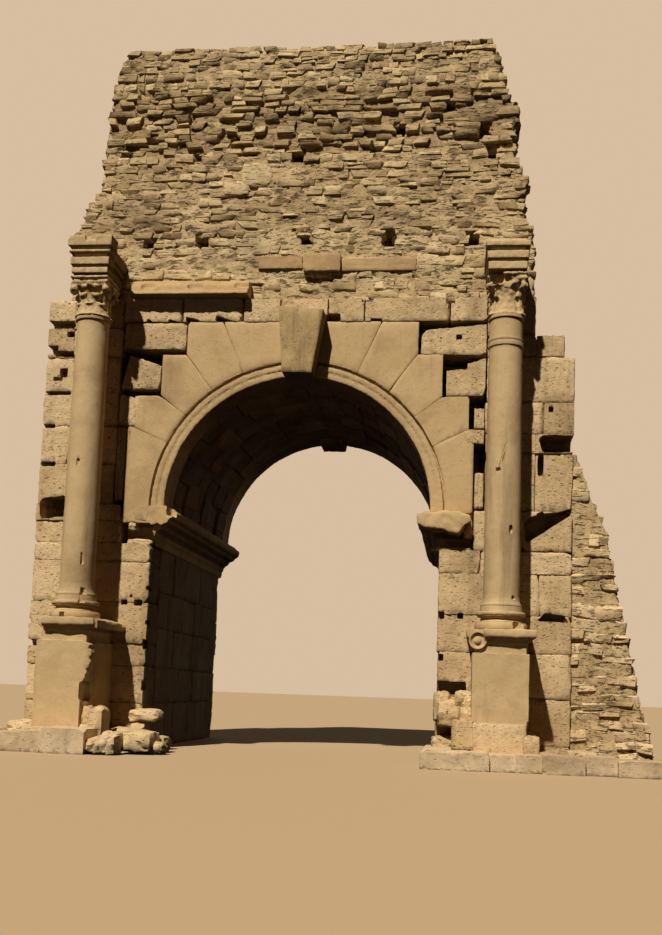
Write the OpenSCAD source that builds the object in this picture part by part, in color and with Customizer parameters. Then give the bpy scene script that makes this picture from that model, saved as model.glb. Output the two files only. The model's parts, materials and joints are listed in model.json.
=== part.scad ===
// Ruined triumphal arch of dressed stone over a concrete core.
// One barrel-vaulted passage, two free columns in front of the front face,
// and a rough attic of coursed rubble. Millimetres, +Z up, +X to the right
// seen from the front, +Y from the front face towards the back.
// The origin is under the middle of the whole ruin, at the lowest footing.

/* [Passage] */
// Clear half width between the two piers
passage_half_w = 2670; // [2500:10:2800]
// Depth of the passage from the front face to the back face
passage_depth = 5610; // [4500:10:6500]
// Distance that the vault's edge stands inside the piers' faces
vault_overhang = 180; // [100:10:250]
// Height of the springing line above the lowest footing
springing_z = 4510; // [4400:10:4800]
// Thickness of the barrel vault behind the face rings
vault_t = 760; // [600:10:850]
// Fill between the vault or the imposts' beds and the cores of the side masses
haunch_fill = 110; // [60:10:200]

/* [Face rings] */
// Depth of the facing stones, from the face to the core
facing_d = 700; // [500:10:900]
// Rise of the voussoirs above the crown of the vault
voussoir_rise = 1060; // [900:10:1200]
// Mean length of the voussoirs, from the vault to the stepped outer edge
voussoir_l = 1000; // [900:10:1050]
// Half angle taken by the keystone
key_half_angle = 6.2; // [5:0.1:7]
// Projection of the keystone in front of the face
key_proj = 460; // [300:10:600]
// Rise of the keystone's projecting head above the voussoirs
key_head = 140; // [60:10:250]
// Drop of the back keystone below the crown of the vault
back_key_drop = 140; // [60:10:200]
// Width of the moulded band round the arch
archivolt_w = 300; // [200:10:400]
// Depth to which the moulded band is sunk in the face
archivolt_sink = 45; // [20:5:80]
// Width of the open joints between large stones
joint_w = 12; // [6:1:20]
// Gap that has opened over the stones beside the ring on the left
left_haunch_gap = 90; // [20:5:150]
// Gap that has opened over the stones beside the ring on the right
right_haunch_gap = 130; // [20:5:180]

/* [Imposts] */
// Height of the impost moulding under the springing line
impost_h = 730; // [600:10:800]
// Projection of the impost moulding into the passage
impost_proj = 400; // [300:10:450]
// Projection of the impost ends in front of the faces
impost_end = 250; // [150:10:300]
// Length of the impost's bed in the wall
impost_bed = 590; // [400:10:650]

/* [Side masses] */
// Distance from the passage axis to the left end of the wall
left_reach = 4950; // [4800:10:5200]
// Distance from the passage axis to the right end of the wall
right_reach = 5050; // [5000:10:5300]
// Drop of the left end's top below the foot of the attic
left_drop = 60; // [20:10:200]
// Drop of the right end's top below the foot of the attic
right_drop = 1140; // [900:10:1500]
// Rise of the last stones but one on the right above that end
right_step_h = 410; // [300:10:600]
// Length of the lower step at the right end
right_step_l = 180; // [100:10:400]
// Depth of the hollow robbed out under the springing stones
hollow_d = 350; // [200:10:450]
// Width of the narrowest stone between the face rings and the upper ashlar
haunch_w = 200; // [150:10:350]
// Spread of the bare rubble beyond the right end, at the ground
rubble_spread = 1500; // [1000:10:1600]
// Height of the bare rubble beyond the right end
rubble_h = 5600; // [4500:10:6500]
// Set-back of the bare rubble from both faces
rubble_back = 120; // [50:10:300]

/* [Attic] */
// Height of the dressed course above the voussoirs
course_h = 450; // [350:10:550]
// Set-back of the attic from both faces
attic_back = 150; // [50:10:300]
// Height of the lowest lift of the attic
lower_lift_h = 1290; // [1000:10:1500]
// Height of the middle lift
middle_lift_h = 1700; // [1400:10:2000]
// Height of the upper lift
upper_lift_h = 1350; // [1100:10:1600]
// Height of the last lift at the top
top_lift_h = 870; // [600:10:1000]
// Reach of the attic to the left, at its foot
attic_left = 4680; // [4500:10:4780]
// Reach of the attic to the right, at its foot
attic_right = 4330; // [4200:10:4500]
// Loss of reach on the left, from the foot to the top
attic_left_in = 900; // [600:10:1100]
// Loss of reach on the right, from the foot to the top
attic_right_in = 870; // [600:10:1100]
// Height of one ragged course on the broken ends
ragged_h = 290; // [200:10:400]
// Depth of the ragged teeth on the broken ends
ragged_d = 60; // [20:5:90]

/* [Cornice remains] */
// Projection of the cornice slab on the left
slab_proj = 230; // [150:10:400]
// Thickness of that slab
slab_h = 200; // [120:10:250]
// Gap between that slab and the entablature block on the left
slab_gap = 20; // [10:5:60]
// Distance from the axis to the slab's inner end
slab_near = 1030; // [800:10:1300]
// Width of the small slab left over the keystone
stub_w = 720; // [500:10:900]
// Distance from the axis to the middle of that small slab
stub_x = 310; // [0:10:500]
// Height of that small slab above the dressed course
stub_rise = 560; // [400:10:700]
// Thickness of that small slab
stub_h = 350; // [200:10:450]
// Projection of that small slab in front of the attic
stub_proj = 250; // [100:10:350]
// Bed of that small slab in the attic
stub_bed = 300; // [150:10:450]

/* [Columns] */
// Distance from the passage axis to a column's axis
column_x = 3770; // [3700:10:3900]
// Distance from the front face to a column's axis
column_y = 750; // [700:10:900]
// Diameter of the shaft above the base
shaft_d = 620; // [560:5:660]
// Diameter of the shaft under the capital
shaft_top_d = 575; // [520:5:600]
// Height at which the column's base starts
base_z = 2300; // [2200:10:2400]
// Height of the moulded base
base_h = 410; // [350:10:450]
// Diameter of the base's lower roll
base_d = 890; // [800:10:940]
// Height of the entablature blocks' bed above the foot of the attic
block_seat = 80; // [0:10:200]
// Height of the capital
capital_h = 760; // [750:10:900]
// Width of the capital's top plate
capital_w = 800; // [740:10:860]
// Thickness of the capital's top plate
abacus_h = 110; // [80:5:150]
// Height of the entablature block over a capital
block_h = 680; // [500:10:750]
// Width of the entablature block at its bottom
block_w = 710; // [650:10:780]
// Growth of the entablature block on each side, from bottom to top
block_out = 100; // [40:10:150]
// Height of the separate top drum of the right shaft
drum_h = 470; // [300:10:600]

/* [Pedestals] */
// Width of a pedestal
pedestal_w = 950; // [850:10:1050]
// Distance that a pedestal reaches further to the front than to the sides
pedestal_lead = 55; // [0:5:200]
// Height of the rough foot under a pedestal
foot_h = 620; // [500:10:900]
// Spread of the rough foot beyond the pedestal
foot_out = 100; // [50:10:150]
// Height at which the moulding on a pedestal starts
cap_slab_z = 1890; // [1800:10:2000]
// Thickness of the slab over that moulding
cap_slab_h = 180; // [120:10:250]
// Overhang of that slab beyond the pedestal
cap_slab_out = 100; // [40:10:120]
// Length of the broken tongue that the left slab keeps towards the passage
tongue_l = 350; // [200:10:450]
// Width of that tongue, along the wall's depth
tongue_w = 600; // [300:10:800]

/* [Footings] */
// Distance from the axis to the outer end of the footing stones
footing_reach = 6700; // [6650:10:7000]
// Depth of the footing stones in front of the pedestals' feet
footing_d = 620; // [500:10:800]
// Distance from the axis to the inner end of the footing stones
footing_inner = 2500; // [2300:10:2700]
// Height of the right footing
right_footing_h = 330; // [250:10:400]
// Height of the left footing
left_footing_h = 380; // [300:10:500]
// Length of one footing stone
footing_stone_l = 700; // [500:10:1000]
// Most that a footing stone stands back from the outer ones
footing_wear = 80; // [20:10:150]

/* [Hidden] */

stone = [0.80, 0.68, 0.48];
rough = [0.66, 0.54, 0.37];
pale = [0.84, 0.74, 0.56];

vault_r = passage_half_w - vault_overhang;
crown_z = springing_z + vault_r;
course_z = crown_z + voussoir_rise;
attic_z = course_z + course_h;
attic_h = lower_lift_h + middle_lift_h + upper_lift_h + top_lift_h;
impost_z = springing_z - impost_h;
core_inner = max(vault_r + vault_t, passage_half_w + impost_bed) + haunch_fill;
core_back = passage_depth - facing_d;
attic_rear = passage_depth - attic_back;
pedestal_front = column_y + pedestal_w / 2 + pedestal_lead;
footing_front = pedestal_front + foot_out + footing_d;
face_y = (footing_front - impost_end - passage_depth) / 2;
shaft_z = base_z + base_h;
block_z = attic_z + block_seat;
capital_z = block_z - capital_h;
slab_far = column_x - block_w / 2 - block_out - slab_gap;
round_fn = 96;
// Cuts pass this far through the surfaces that they open
over = 1;

// Angles of the joints between the voussoirs of one half, from the keystone down
joint_angles = [67, 53, 38.5, 25.5];
// Angles of the corners of the stepped outer edge, and their share of the mean length
corner_angles = [53, 38.5, 25.5, 0];
corner_share = [1.15, 0.9, 1, 0.76];
corner_r = [for (share = corner_share) vault_r + voussoir_l * share];
corner_x = [for (i = [0:3]) corner_r[i] * cos(corner_angles[i])];
corner_z = [for (i = [0:3]) springing_z + corner_r[i] * sin(corner_angles[i])];
// Distance from the passage axis to the inner edge of the upper ashlar
haunch_reach = max(corner_x) + haunch_w;

// Heights of the bed joints of each side mass, as shares of the height under the attic
left_beds = [0.098, 0.176, 0.227, 0.315, 0.404, 0.492, 0.55, 0.62, 0.707, 0.783, 0.865, 0.932];
right_beds = [0.039, 0.137, 0.229, 0.308, 0.396, 0.462, 0.528, 0.656, 0.697, 0.766, 0.866];

// Mouldings of an entablature block from bottom to top, as shares of its growth and height:
// three flat bands, the hollow under the cornice, the cornice and its sloping lip
block_profile = [[0, 0], [0, 0.15], [0.2, 0.17], [0.2, 0.36], [0.42, 0.38], [0.42, 0.58],
                 [0.3, 0.6], [0.3, 0.68], [0.85, 0.74], [0.85, 0.84], [0.72, 0.86], [0.78, 0.9],
                 [1, 0.95], [1, 1]];

// Share of the attic's loss of reach, by share of its height
left_taper = [[0, 0], [0.26, 0.05], [0.45, 0.5], [0.72, 0.62], [1, 1]];
right_taper = [[0, 0], [0.26, 0.03], [0.36, 0.24], [0.55, 0.45], [0.7, 0.4], [0.81, 0.62], [1, 1]];

// A repeatable unevenness between -1 and 1
function uneven(i, seed) = sin(i * 137.5 + seed * 61);

// Points on an arc, seen from its centre
function arc(cx, cy, r, a0, a1, n = 6) =
    [for (i = [0:n]) let (a = a0 + (a1 - a0) * i / n) [cx + r * cos(a), cy + r * sin(a)]];

// Moves what is drawn from the front face into the part's frame
module placed() {
    translate([0, face_y, 0]) children();
}

// A prism whose outline is drawn in the plane of the faces
module upright(points, y0, y1) {
    translate([0, y1, 0])
        rotate([90, 0, 0])
            linear_extrude(height = y1 - y0)
                polygon(points);
}

// A box from one corner to the other
module block(low, high) {
    translate(low)
        cube(high - low);
}

// A cylinder along the passage, on the axis of the vault
module vault_cylinder(r, y0, y1) {
    translate([0, y1, springing_z])
        rotate([90, 0, 0])
            cylinder(r = r, h = y1 - y0, $fn = round_fn);
}

// Half of a face ring out to its stepped edge, on the side given
module ring_outline(side, y0, y1) {
    upright([[0, springing_z],
             [0, course_z],
             [side * corner_x[0], course_z],
             [side * corner_x[0], corner_z[0]],
             [side * corner_x[1], corner_z[0]],
             [side * corner_x[1], corner_z[1]],
             [side * corner_x[2], corner_z[1]],
             [side * corner_x[2], corner_z[2]],
             [side * corner_x[3], corner_z[2]],
             [side * corner_x[3], springing_z]], y0, y1);
}

// An open joint along a radius of the vault, on the side given
module radial_joint(side, a, y0, y1) {
    translate([0, y0 - over, springing_z])
        rotate([0, side > 0 ? -a : a - 180, 0])
            translate([vault_r / 2, 0, -joint_w / 2])
                cube([2 * vault_r, y1 - y0 + 2 * over, joint_w]);
}

// A wedge on the axis, tapering towards the centre of the vault
module key_wedge(y0, y1, r_low, r_high, clear) {
    t = tan(key_half_angle);
    upright([[-r_low * t + clear, springing_z + r_low],
             [r_low * t - clear, springing_z + r_low],
             [r_high * t - clear, springing_z + r_high],
             [-r_high * t + clear, springing_z + r_high]], y0, y1);
}

// A ring sunk in a face; into is 1 on the front face and -1 on the back face
module ring_cut(r_in, r_out, depth, face, into) {
    y0 = into > 0 ? face - over : face - depth;
    y1 = into > 0 ? face + depth : face + over;
    difference() {
        vault_cylinder(r_out, y0, y1);
        vault_cylinder(r_in, y0 - over, y1 + over);
    }
}

// The moulded band: an inner and an outer flat band, a thin step between them
// and a deep groove round the outside
module archivolt_cut(face, into) {
    inner_w = archivolt_w * 0.42;
    step_w = archivolt_w * 0.08;
    groove_w = archivolt_w * 0.15;
    ring_cut(vault_r - over, vault_r + inner_w, archivolt_sink, face, into);
    ring_cut(vault_r + inner_w, vault_r + inner_w + step_w, archivolt_sink * 1.6, face, into);
    ring_cut(vault_r + inner_w, vault_r + archivolt_w, archivolt_sink * 0.5, face, into);
    ring_cut(vault_r + archivolt_w - groove_w, vault_r + archivolt_w, archivolt_sink * 1.8,
             face, into);
}

// The voussoirs of one half of a face ring, parted by radial joints
module voussoirs(side, y0, y1, face, into) {
    color(pale)
        placed()
            difference() {
                ring_outline(side, y0, y1);
                vault_cylinder(vault_r, y0 - over, y1 + over);
                key_wedge(y0 - over, y1 + over, vault_r / 2, 2 * vault_r, 0);
                for (a = joint_angles)
                    radial_joint(side, a, y0, y1);
                archivolt_cut(face, into);
            }
}

module front_left_voussoirs() {
    voussoirs(-1, 0, facing_d, 0, 1);
}

module front_right_voussoirs() {
    voussoirs(1, 0, facing_d, 0, 1);
}

module back_left_voussoirs() {
    voussoirs(-1, core_back, passage_depth, passage_depth, -1);
}

module back_right_voussoirs() {
    voussoirs(1, core_back, passage_depth, passage_depth, -1);
}

// The front keystone stands out from the face and rises past the voussoirs there
module front_keystone() {
    top = vault_r + voussoir_rise;
    color(pale)
        placed() {
            key_wedge(0, facing_d, vault_r, top, joint_w / 2);
            key_wedge(-key_proj, 0, vault_r, top + key_head, joint_w / 2);
        }
}

// The back keystone hangs a little below the crown
module back_keystone() {
    color(pale)
        placed()
            key_wedge(core_back, passage_depth, vault_r - back_key_drop,
                      vault_r + voussoir_rise, joint_w / 2);
}

// The vault behind the face rings, resting on the imposts
module barrel_vault() {
    below = 2 * vault_r;
    color(rough)
        placed()
            difference() {
                vault_cylinder(vault_r + vault_t, facing_d, core_back);
                vault_cylinder(vault_r, facing_d - over, core_back + over);
                block([-2 * vault_r, facing_d - over, springing_z - below],
                      [2 * vault_r, core_back + over, springing_z]);
            }
}

// The fill between the vault and the attic
module spandrel_core() {
    color(rough)
        placed()
            difference() {
                block([-core_inner, facing_d, springing_z], [core_inner, core_back, attic_z]);
                vault_cylinder(vault_r + vault_t, facing_d - over, core_back + over);
            }
}

// Outline of a side mass, from its inner edge to its broken end
function mass_outline(side, inner, reach, drop, step_l, step_h, attic_reach) =
    concat([[side * inner, 0],
            [side * reach, 0],
            [side * reach, attic_z - drop]],
           step_h > 0 ? [[side * (reach - step_l), attic_z - drop],
                         [side * (reach - step_l), attic_z - drop + step_h],
                         [side * attic_reach, attic_z - drop + step_h]]
                      : [[side * attic_reach, attic_z - drop]],
           [[side * attic_reach, attic_z],
            [side * inner, attic_z]]);

function left_outline(inner) =
    mass_outline(-1, inner, left_reach, left_drop, 0, 0, attic_left);

function right_outline(inner) =
    mass_outline(1, inner, right_reach, right_drop, right_step_l, right_step_h, attic_right);

module left_core() {
    color(rough)
        placed()
            upright(left_outline(core_inner), facing_d, core_back);
}

module right_core() {
    color(rough)
        placed()
            upright(right_outline(core_inner), facing_d, core_back);
}

// Bed joints and upright joints of an ashlar face, course by course
module ashlar_joints(x0, x1, shares, z_top, face, into, seed) {
    cut = 3 * joint_w;
    y0 = into > 0 ? face - over : face - cut;
    beds = concat([0], [for (share = shares) share * attic_z], [z_top]);
    for (i = [1:len(shares)])
        translate([x0 - over, y0, beds[i]])
            cube([x1 - x0 + 2 * over, cut + over, joint_w]);
    for (i = [0:len(shares)])
        translate([(x0 + x1) / 2 + (x1 - x0) * 0.2 * uneven(i, seed), y0, beds[i]])
            cube([joint_w, cut + over, beds[i + 1] - beds[i]]);
}

// The facing of one side mass on one face, cut away for the impost and the ring
module ashlar_facing(side, outline, reach, y0, y1, face, into, seed) {
    inner = side * passage_half_w;
    outer = side * reach;
    bed = side * (passage_half_w + impost_bed);
    upper = side * haunch_reach;
    beds = side > 0 ? right_beds : left_beds;
    color(stone)
        placed()
            difference() {
                upright(outline, y0, y1);
                upright([[inner - side * over, impost_z],
                         [bed, impost_z],
                         [bed, springing_z],
                         [upper, springing_z],
                         [upper, attic_z + over],
                         [inner - side * over, attic_z + over]], y0 - over, y1 + over);
                ashlar_joints(min(inner, outer), max(inner, outer), beds, attic_z, face, into, seed);
            }
}

module left_front_ashlar() {
    ashlar_facing(-1, left_outline(passage_half_w), left_reach, 0, facing_d, 0, 1, 1);
}

module left_back_ashlar() {
    ashlar_facing(-1, left_outline(passage_half_w), left_reach, core_back, passage_depth,
                  passage_depth, -1, 2);
    back_haunch(-1);
}

module right_front_ashlar() {
    ashlar_facing(1, right_outline(passage_half_w), right_reach, 0, facing_d, 0, 1, 3);
}

module right_back_ashlar() {
    ashlar_facing(1, right_outline(passage_half_w), right_reach, core_back, passage_depth,
                  passage_depth, -1, 4);
    back_haunch(1);
}

// The lining of one pier along the passage, between the two facings
module passage_ashlar(side) {
    x0 = min(side * passage_half_w, side * core_inner);
    x1 = max(side * passage_half_w, side * core_inner);
    joint_x = side > 0 ? x0 - over : x1 - 3 * joint_w;
    beds = side > 0 ? right_beds : left_beds;
    color(stone)
        placed()
            difference() {
                block([x0, facing_d, 0], [x1, core_back, impost_z]);
                for (share = beds)
                    if (share * attic_z < impost_z - 3 * joint_w)
                        translate([joint_x, facing_d - over, share * attic_z])
                            cube([3 * joint_w + over, core_back - facing_d + 2 * over, joint_w]);
            }
}

module left_passage_ashlar() {
    passage_ashlar(-1);
}

module right_passage_ashlar() {
    passage_ashlar(1);
}

// The stones between the stepped edge of the ring and the upper ashlar.
// Each stands in one step, with an open joint beside it and a gap over it.
module haunch_stones(side, y0, y1, gap) {
    top_z = [course_z, corner_z[0], corner_z[1], corner_z[2]];
    low_z = [corner_z[0], corner_z[1], corner_z[2], springing_z];
    color(stone)
        placed()
            for (i = [0:3])
                upright([[side * (corner_x[i] + joint_w), low_z[i]],
                         [side * haunch_reach, low_z[i]],
                         [side * haunch_reach, top_z[i] - gap],
                         [side * (corner_x[i] + joint_w), top_z[i] - gap * (1.2 + 0.4 * uneven(i, 5))]],
                        y0, y1);
}

module front_left_haunch() {
    haunch_stones(-1, 0, facing_d, left_haunch_gap);
}

module front_right_haunch() {
    haunch_stones(1, 0, facing_d, right_haunch_gap);
}

module back_haunch(side) {
    haunch_stones(side, core_back, passage_depth, joint_w);
}

// The dressed course that closes the face over the voussoirs
module dressed_course(y0, y1, face, into) {
    cut = 3 * joint_w;
    j0 = into > 0 ? face - over : face - cut;
    stones = 6;
    color(stone)
        placed()
            difference() {
                block([-haunch_reach, y0, course_z], [haunch_reach, y1, attic_z]);
                for (i = [1:stones - 1])
                    translate([-haunch_reach + 2 * haunch_reach * (i + 0.3 * uneven(i, 6)) / stones,
                               j0, course_z - over])
                        cube([joint_w, cut + over, course_h + 2 * over]);
                if (into > 0)
                    key_wedge(-over, over, vault_r, vault_r + voussoir_rise + key_head, 0);
            }
}

module front_dressed_course() {
    dressed_course(0, facing_d, 0, 1);
}

module back_dressed_course() {
    dressed_course(core_back, passage_depth, passage_depth, -1);
}

// What is left of the cornice on the left, lying on the dressed course
module cornice_slab() {
    nose = slab_h * 0.4;
    color(pale)
        placed()
            translate([-slab_far, 0, attic_z])
                rotate([90, 0, 90])
                    linear_extrude(height = slab_far - slab_near)
                        polygon([[attic_back, 0],
                                 [attic_back, slab_h],
                                 [-slab_proj, slab_h],
                                 [-slab_proj, slab_h - nose],
                                 [-slab_proj + nose, slab_h - nose],
                                 [-slab_proj + 2 * nose, 0]]);
}

// The small slab over the keystone, bedded in a pocket of the attic
module stub_box(clear) {
    block([stub_x - stub_w / 2 - clear, attic_back - stub_proj, attic_z + stub_rise - clear],
          [stub_x + stub_w / 2 + clear, attic_back + stub_bed, attic_z + stub_rise + stub_h + clear]);
}

module stub_slab() {
    color(pale)
        placed()
            stub_box(0);
}

// Reach of the attic on one side, at a height above its foot
function attic_edge(reach, loss, taper, z, i, seed) =
    reach - loss * lookup(z / attic_h, taper) + (i == 0 ? 0 : ragged_d * uneven(i, seed));

// One side of a lift's outline, as ragged steps from its foot to its top
function ragged_side(side, reach, loss, taper, z0, z1, seed) =
    let (n = max(1, round((z1 - z0) / ragged_h)))
        [for (i = [0:n - 1], k = [0, 1])
            let (za = z0 + (z1 - z0) * i / n,
                 zb = z0 + (z1 - z0) * (i + 1) / n)
                [side * attic_edge(reach, loss, taper, (za + zb) / 2, i, seed),
                 attic_z + (k == 0 ? za : zb)]];

function reversed(list) = [for (i = [len(list) - 1:-1:0]) list[i]];

module attic_lift(z0, z1, seed) {
    upright(concat(ragged_side(1, attic_right, attic_right_in, right_taper, z0, z1, seed),
                   reversed(ragged_side(-1, attic_left, attic_left_in, left_taper, z0, z1, seed + 1))),
            attic_back, attic_rear);
}

module attic_lower_lift() {
    color(rough)
        placed()
            difference() {
                attic_lift(0, lower_lift_h, 11);
                stub_box(0);
            }
}

module attic_middle_lift() {
    color(rough)
        placed()
            attic_lift(lower_lift_h, lower_lift_h + middle_lift_h, 14);
}

module attic_upper_lift() {
    z0 = lower_lift_h + middle_lift_h;
    color(rough)
        placed()
            attic_lift(z0, z0 + upper_lift_h, 17);
}

module attic_top_lift() {
    color(rough)
        placed()
            attic_lift(attic_h - top_lift_h, attic_h, 20);
}

// The bare rubble beyond the right end, spreading towards the ground
module right_rubble_wing() {
    n = max(3, round(rubble_h / ragged_h));
    color(rough)
        placed()
            upright(concat([[right_reach, 0]],
                           [for (i = [0:n - 1], k = [0, 1])
                               let (t = (i + k) / n,
                                    tm = (i + 0.5) / n)
                                   [right_reach + rubble_spread * (1 - pow(tm, 1.4))
                                    + ragged_d * (i == 0 ? 0 : uneven(i, 23)) * (1 - tm),
                                    rubble_h * t]],
                           [[right_reach, rubble_h]]),
                    rubble_back, passage_depth - rubble_back);
}

// The impost moulding of one pier, from a broken front end to past the back face
module impost(side, y0) {
    lip = impost_h * 0.2;
    upright([[side * (passage_half_w + impost_bed), impost_z],
             [side * passage_half_w, impost_z],
             [side * (passage_half_w - impost_proj * 0.15), impost_z + impost_h * 0.12],
             [side * (passage_half_w - impost_proj * 0.2), impost_z + impost_h * 0.3],
             [side * (passage_half_w - impost_proj * 0.55), impost_z + impost_h * 0.5],
             [side * (passage_half_w - impost_proj * 0.95), springing_z - 1.6 * lip],
             [side * (passage_half_w - impost_proj), springing_z - 1.5 * lip],
             [side * (passage_half_w - impost_proj), springing_z - 0.4 * lip],
             [side * (passage_half_w - impost_proj * 0.6), springing_z],
             [side * (passage_half_w + impost_bed), springing_z]],
            y0, passage_depth + impost_end);
}

// What lies in front of the hollow and under the springing stone is gone
module impost_hollow(side, z1) {
    x0 = side * (passage_half_w - impost_proj - over);
    x1 = side * (passage_half_w + impost_bed + over);
    block([min(x0, x1), -impost_end - over, impost_z - over], [max(x0, x1), hollow_d, z1]);
}

// On the left the front end is broken off behind the face, up to the springing stone
module left_impost() {
    color(pale)
        placed()
            difference() {
                impost(-1, 0);
                impost_hollow(-1, springing_z - impost_h * 0.42);
            }
}

// On the right only the top slab still stands out in front of the face
module right_impost() {
    color(pale)
        placed()
            difference() {
                impost(1, -impost_end);
                impost_hollow(1, springing_z - impost_h * 0.46);
            }
}

// A row of footing stones in front of one side, open joints cut from above
module footing(side, h, seed) {
    l = footing_reach - footing_inner;
    n = round(l / footing_stone_l);
    y0 = -footing_front;
    y1 = -(pedestal_front + foot_out);
    color(rough)
        placed()
            difference() {
                for (i = [0:n - 1])
                    let (xa = side * (footing_inner + l * i / n),
                         xb = side * (footing_inner + l * (i + 1) / n),
                         inset = i == 0 || i == n - 1 ? 0 : footing_wear * (1 + uneven(i, seed)) / 2)
                        block([min(xa, xb), y0 + inset, 0],
                              [max(xa, xb), y1, h * (0.85 + 0.15 * uneven(i, seed + 1))]);
                for (i = [1:n - 1])
                    translate([side * (footing_inner + l * i / n) - joint_w / 2, y0 - over, h * 0.35])
                        cube([joint_w, y1 - y0 + 2 * over, h]);
            }
}

module left_footing() {
    footing(-1, left_footing_h, 31);
}

module right_footing() {
    footing(1, right_footing_h, 33);
}

// A pedestal on its rough foot, with its back against the wall
module pedestal(side) {
    half = pedestal_w / 2;
    wide = half + foot_out;
    chamfer = foot_out;
    color(pale)
        placed()
            translate([side * column_x, 0, 0]) {
                block([-half, -pedestal_front, foot_h], [half, 0, cap_slab_z]);
                linear_extrude(height = foot_h)
                    polygon([[-wide, 0],
                             [-wide, -pedestal_front + chamfer],
                             [-half, -pedestal_front - foot_out],
                             [half, -pedestal_front - foot_out],
                             [wide, -pedestal_front + chamfer],
                             [wide, 0]]);
            }
}

module left_pedestal() {
    pedestal(-1);
}

module right_pedestal() {
    pedestal(1);
}

// The moulding and the slab that cap a pedestal
module pedestal_slab(side) {
    half = pedestal_w / 2;
    slab_z = base_z - cap_slab_h;
    color(pale)
        placed()
            translate([side * column_x, 0, 0]) {
                block([-half - cap_slab_out * 0.3, -pedestal_front - cap_slab_out * 0.3, cap_slab_z],
                      [half + cap_slab_out * 0.3, 0, slab_z]);
                block([-half - cap_slab_out, -pedestal_front - cap_slab_out, slab_z],
                      [half + cap_slab_out, 0, base_z]);
            }
}

// The left slab keeps a tongue of the course that it was cut from
module left_pedestal_slab() {
    pedestal_slab(-1);
    tongue_x = pedestal_w / 2 + cap_slab_out - column_x;
    slab_z = base_z - cap_slab_h;
    color(pale)
        placed()
            upright([[tongue_x, slab_z],
                     [tongue_x + tongue_l * 0.7, slab_z],
                     [tongue_x + tongue_l, slab_z + cap_slab_h * 0.25],
                     [tongue_x + tongue_l * 0.85, slab_z + cap_slab_h * 0.7],
                     [tongue_x, slab_z + cap_slab_h * 0.8]], -tongue_w, 0);
}

module right_pedestal_slab() {
    pedestal_slab(1);
}

// Places something on a column's axis
module on_column(side, z) {
    translate([side * column_x, face_y - column_y, z]) children();
}

// The base: lower roll, hollow and upper roll, turned round the axis
module column_base(side) {
    low_r = base_h * 0.2;
    top_r = base_h * 0.13;
    edge = base_d / 2;
    neck = shaft_d / 2 + base_h * 0.12;
    hollow_z0 = 2 * low_r + base_h * 0.05;
    hollow_z1 = base_h - 2 * top_r - base_h * 0.05;
    hollow_r = (hollow_z1 - hollow_z0) / 2;
    color(pale)
        on_column(side, base_z)
            rotate_extrude($fn = round_fn)
                polygon(concat([[0, 0]],
                               arc(edge - low_r, low_r, low_r, -90, 90, 10),
                               [[neck + hollow_r * 0.9, 2 * low_r],
                                [neck + hollow_r * 0.9, hollow_z0]],
                               arc(neck + hollow_r * 0.9, (hollow_z0 + hollow_z1) / 2, hollow_r,
                                   -100, -260, 8),
                               [[neck + hollow_r * 0.5, hollow_z1]],
                               arc(neck + top_r * 0.6, base_h - top_r, top_r, -90, 90, 8),
                               [[0, base_h]]));
}

module left_column_base() {
    column_base(-1);
}

module right_column_base() {
    column_base(1);
}

// A shaft with a small flare at each end
module shaft(z0, z1, d0, d1, flare0, flare1) {
    h = z1 - z0;
    rotate_extrude($fn = round_fn)
        polygon([[0, 0],
                 [d0 / 2 + flare0, 0],
                 [d0 / 2 + flare0, flare0],
                 [d0 / 2 + flare0 * 0.3, flare0 * 1.6],
                 [d0 / 2, flare0 * 3],
                 [d1 / 2, h - flare1 * 3],
                 [d1 / 2 + flare1 * 0.3, h - flare1 * 1.6],
                 [d1 / 2 + flare1, h - flare1],
                 [d1 / 2 + flare1, h],
                 [0, h]]);
}

module left_shaft() {
    color(pale)
        on_column(-1, shaft_z)
            shaft(shaft_z, capital_z, shaft_d, shaft_top_d, 40, 30);
}

module right_shaft() {
    color(pale)
        on_column(1, shaft_z)
            shaft(shaft_z, capital_z - drum_h, shaft_d, shaft_top_d, 40, 18);
}

// The top drum of the right shaft is a stone of its own
module right_shaft_drum() {
    color(pale)
        on_column(1, capital_z - drum_h)
            shaft(capital_z - drum_h, capital_z, shaft_top_d, shaft_top_d, 18, 24);
}

// One leaf of a capital: a tongue that leaves the bell and curls over at its tip
module leaf(r, h, w, curl) {
    rotate([90, 0, 0])
        translate([0, 0, -w / 2])
            linear_extrude(height = w)
                polygon([[r * 0.6, 0],
                         [r + curl * 0.35, 0],
                         [r + curl * 0.25, h * 0.5],
                         [r + curl * 0.55, h * 0.85],
                         [r + curl, h * 0.95],
                         [r + curl * 1.1, h * 0.88],
                         [r + curl * 1.25, h],
                         [r + curl, h * 1.08],
                         [r + curl * 0.5, h * 1.06],
                         [r * 0.6, h]]);
}

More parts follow.
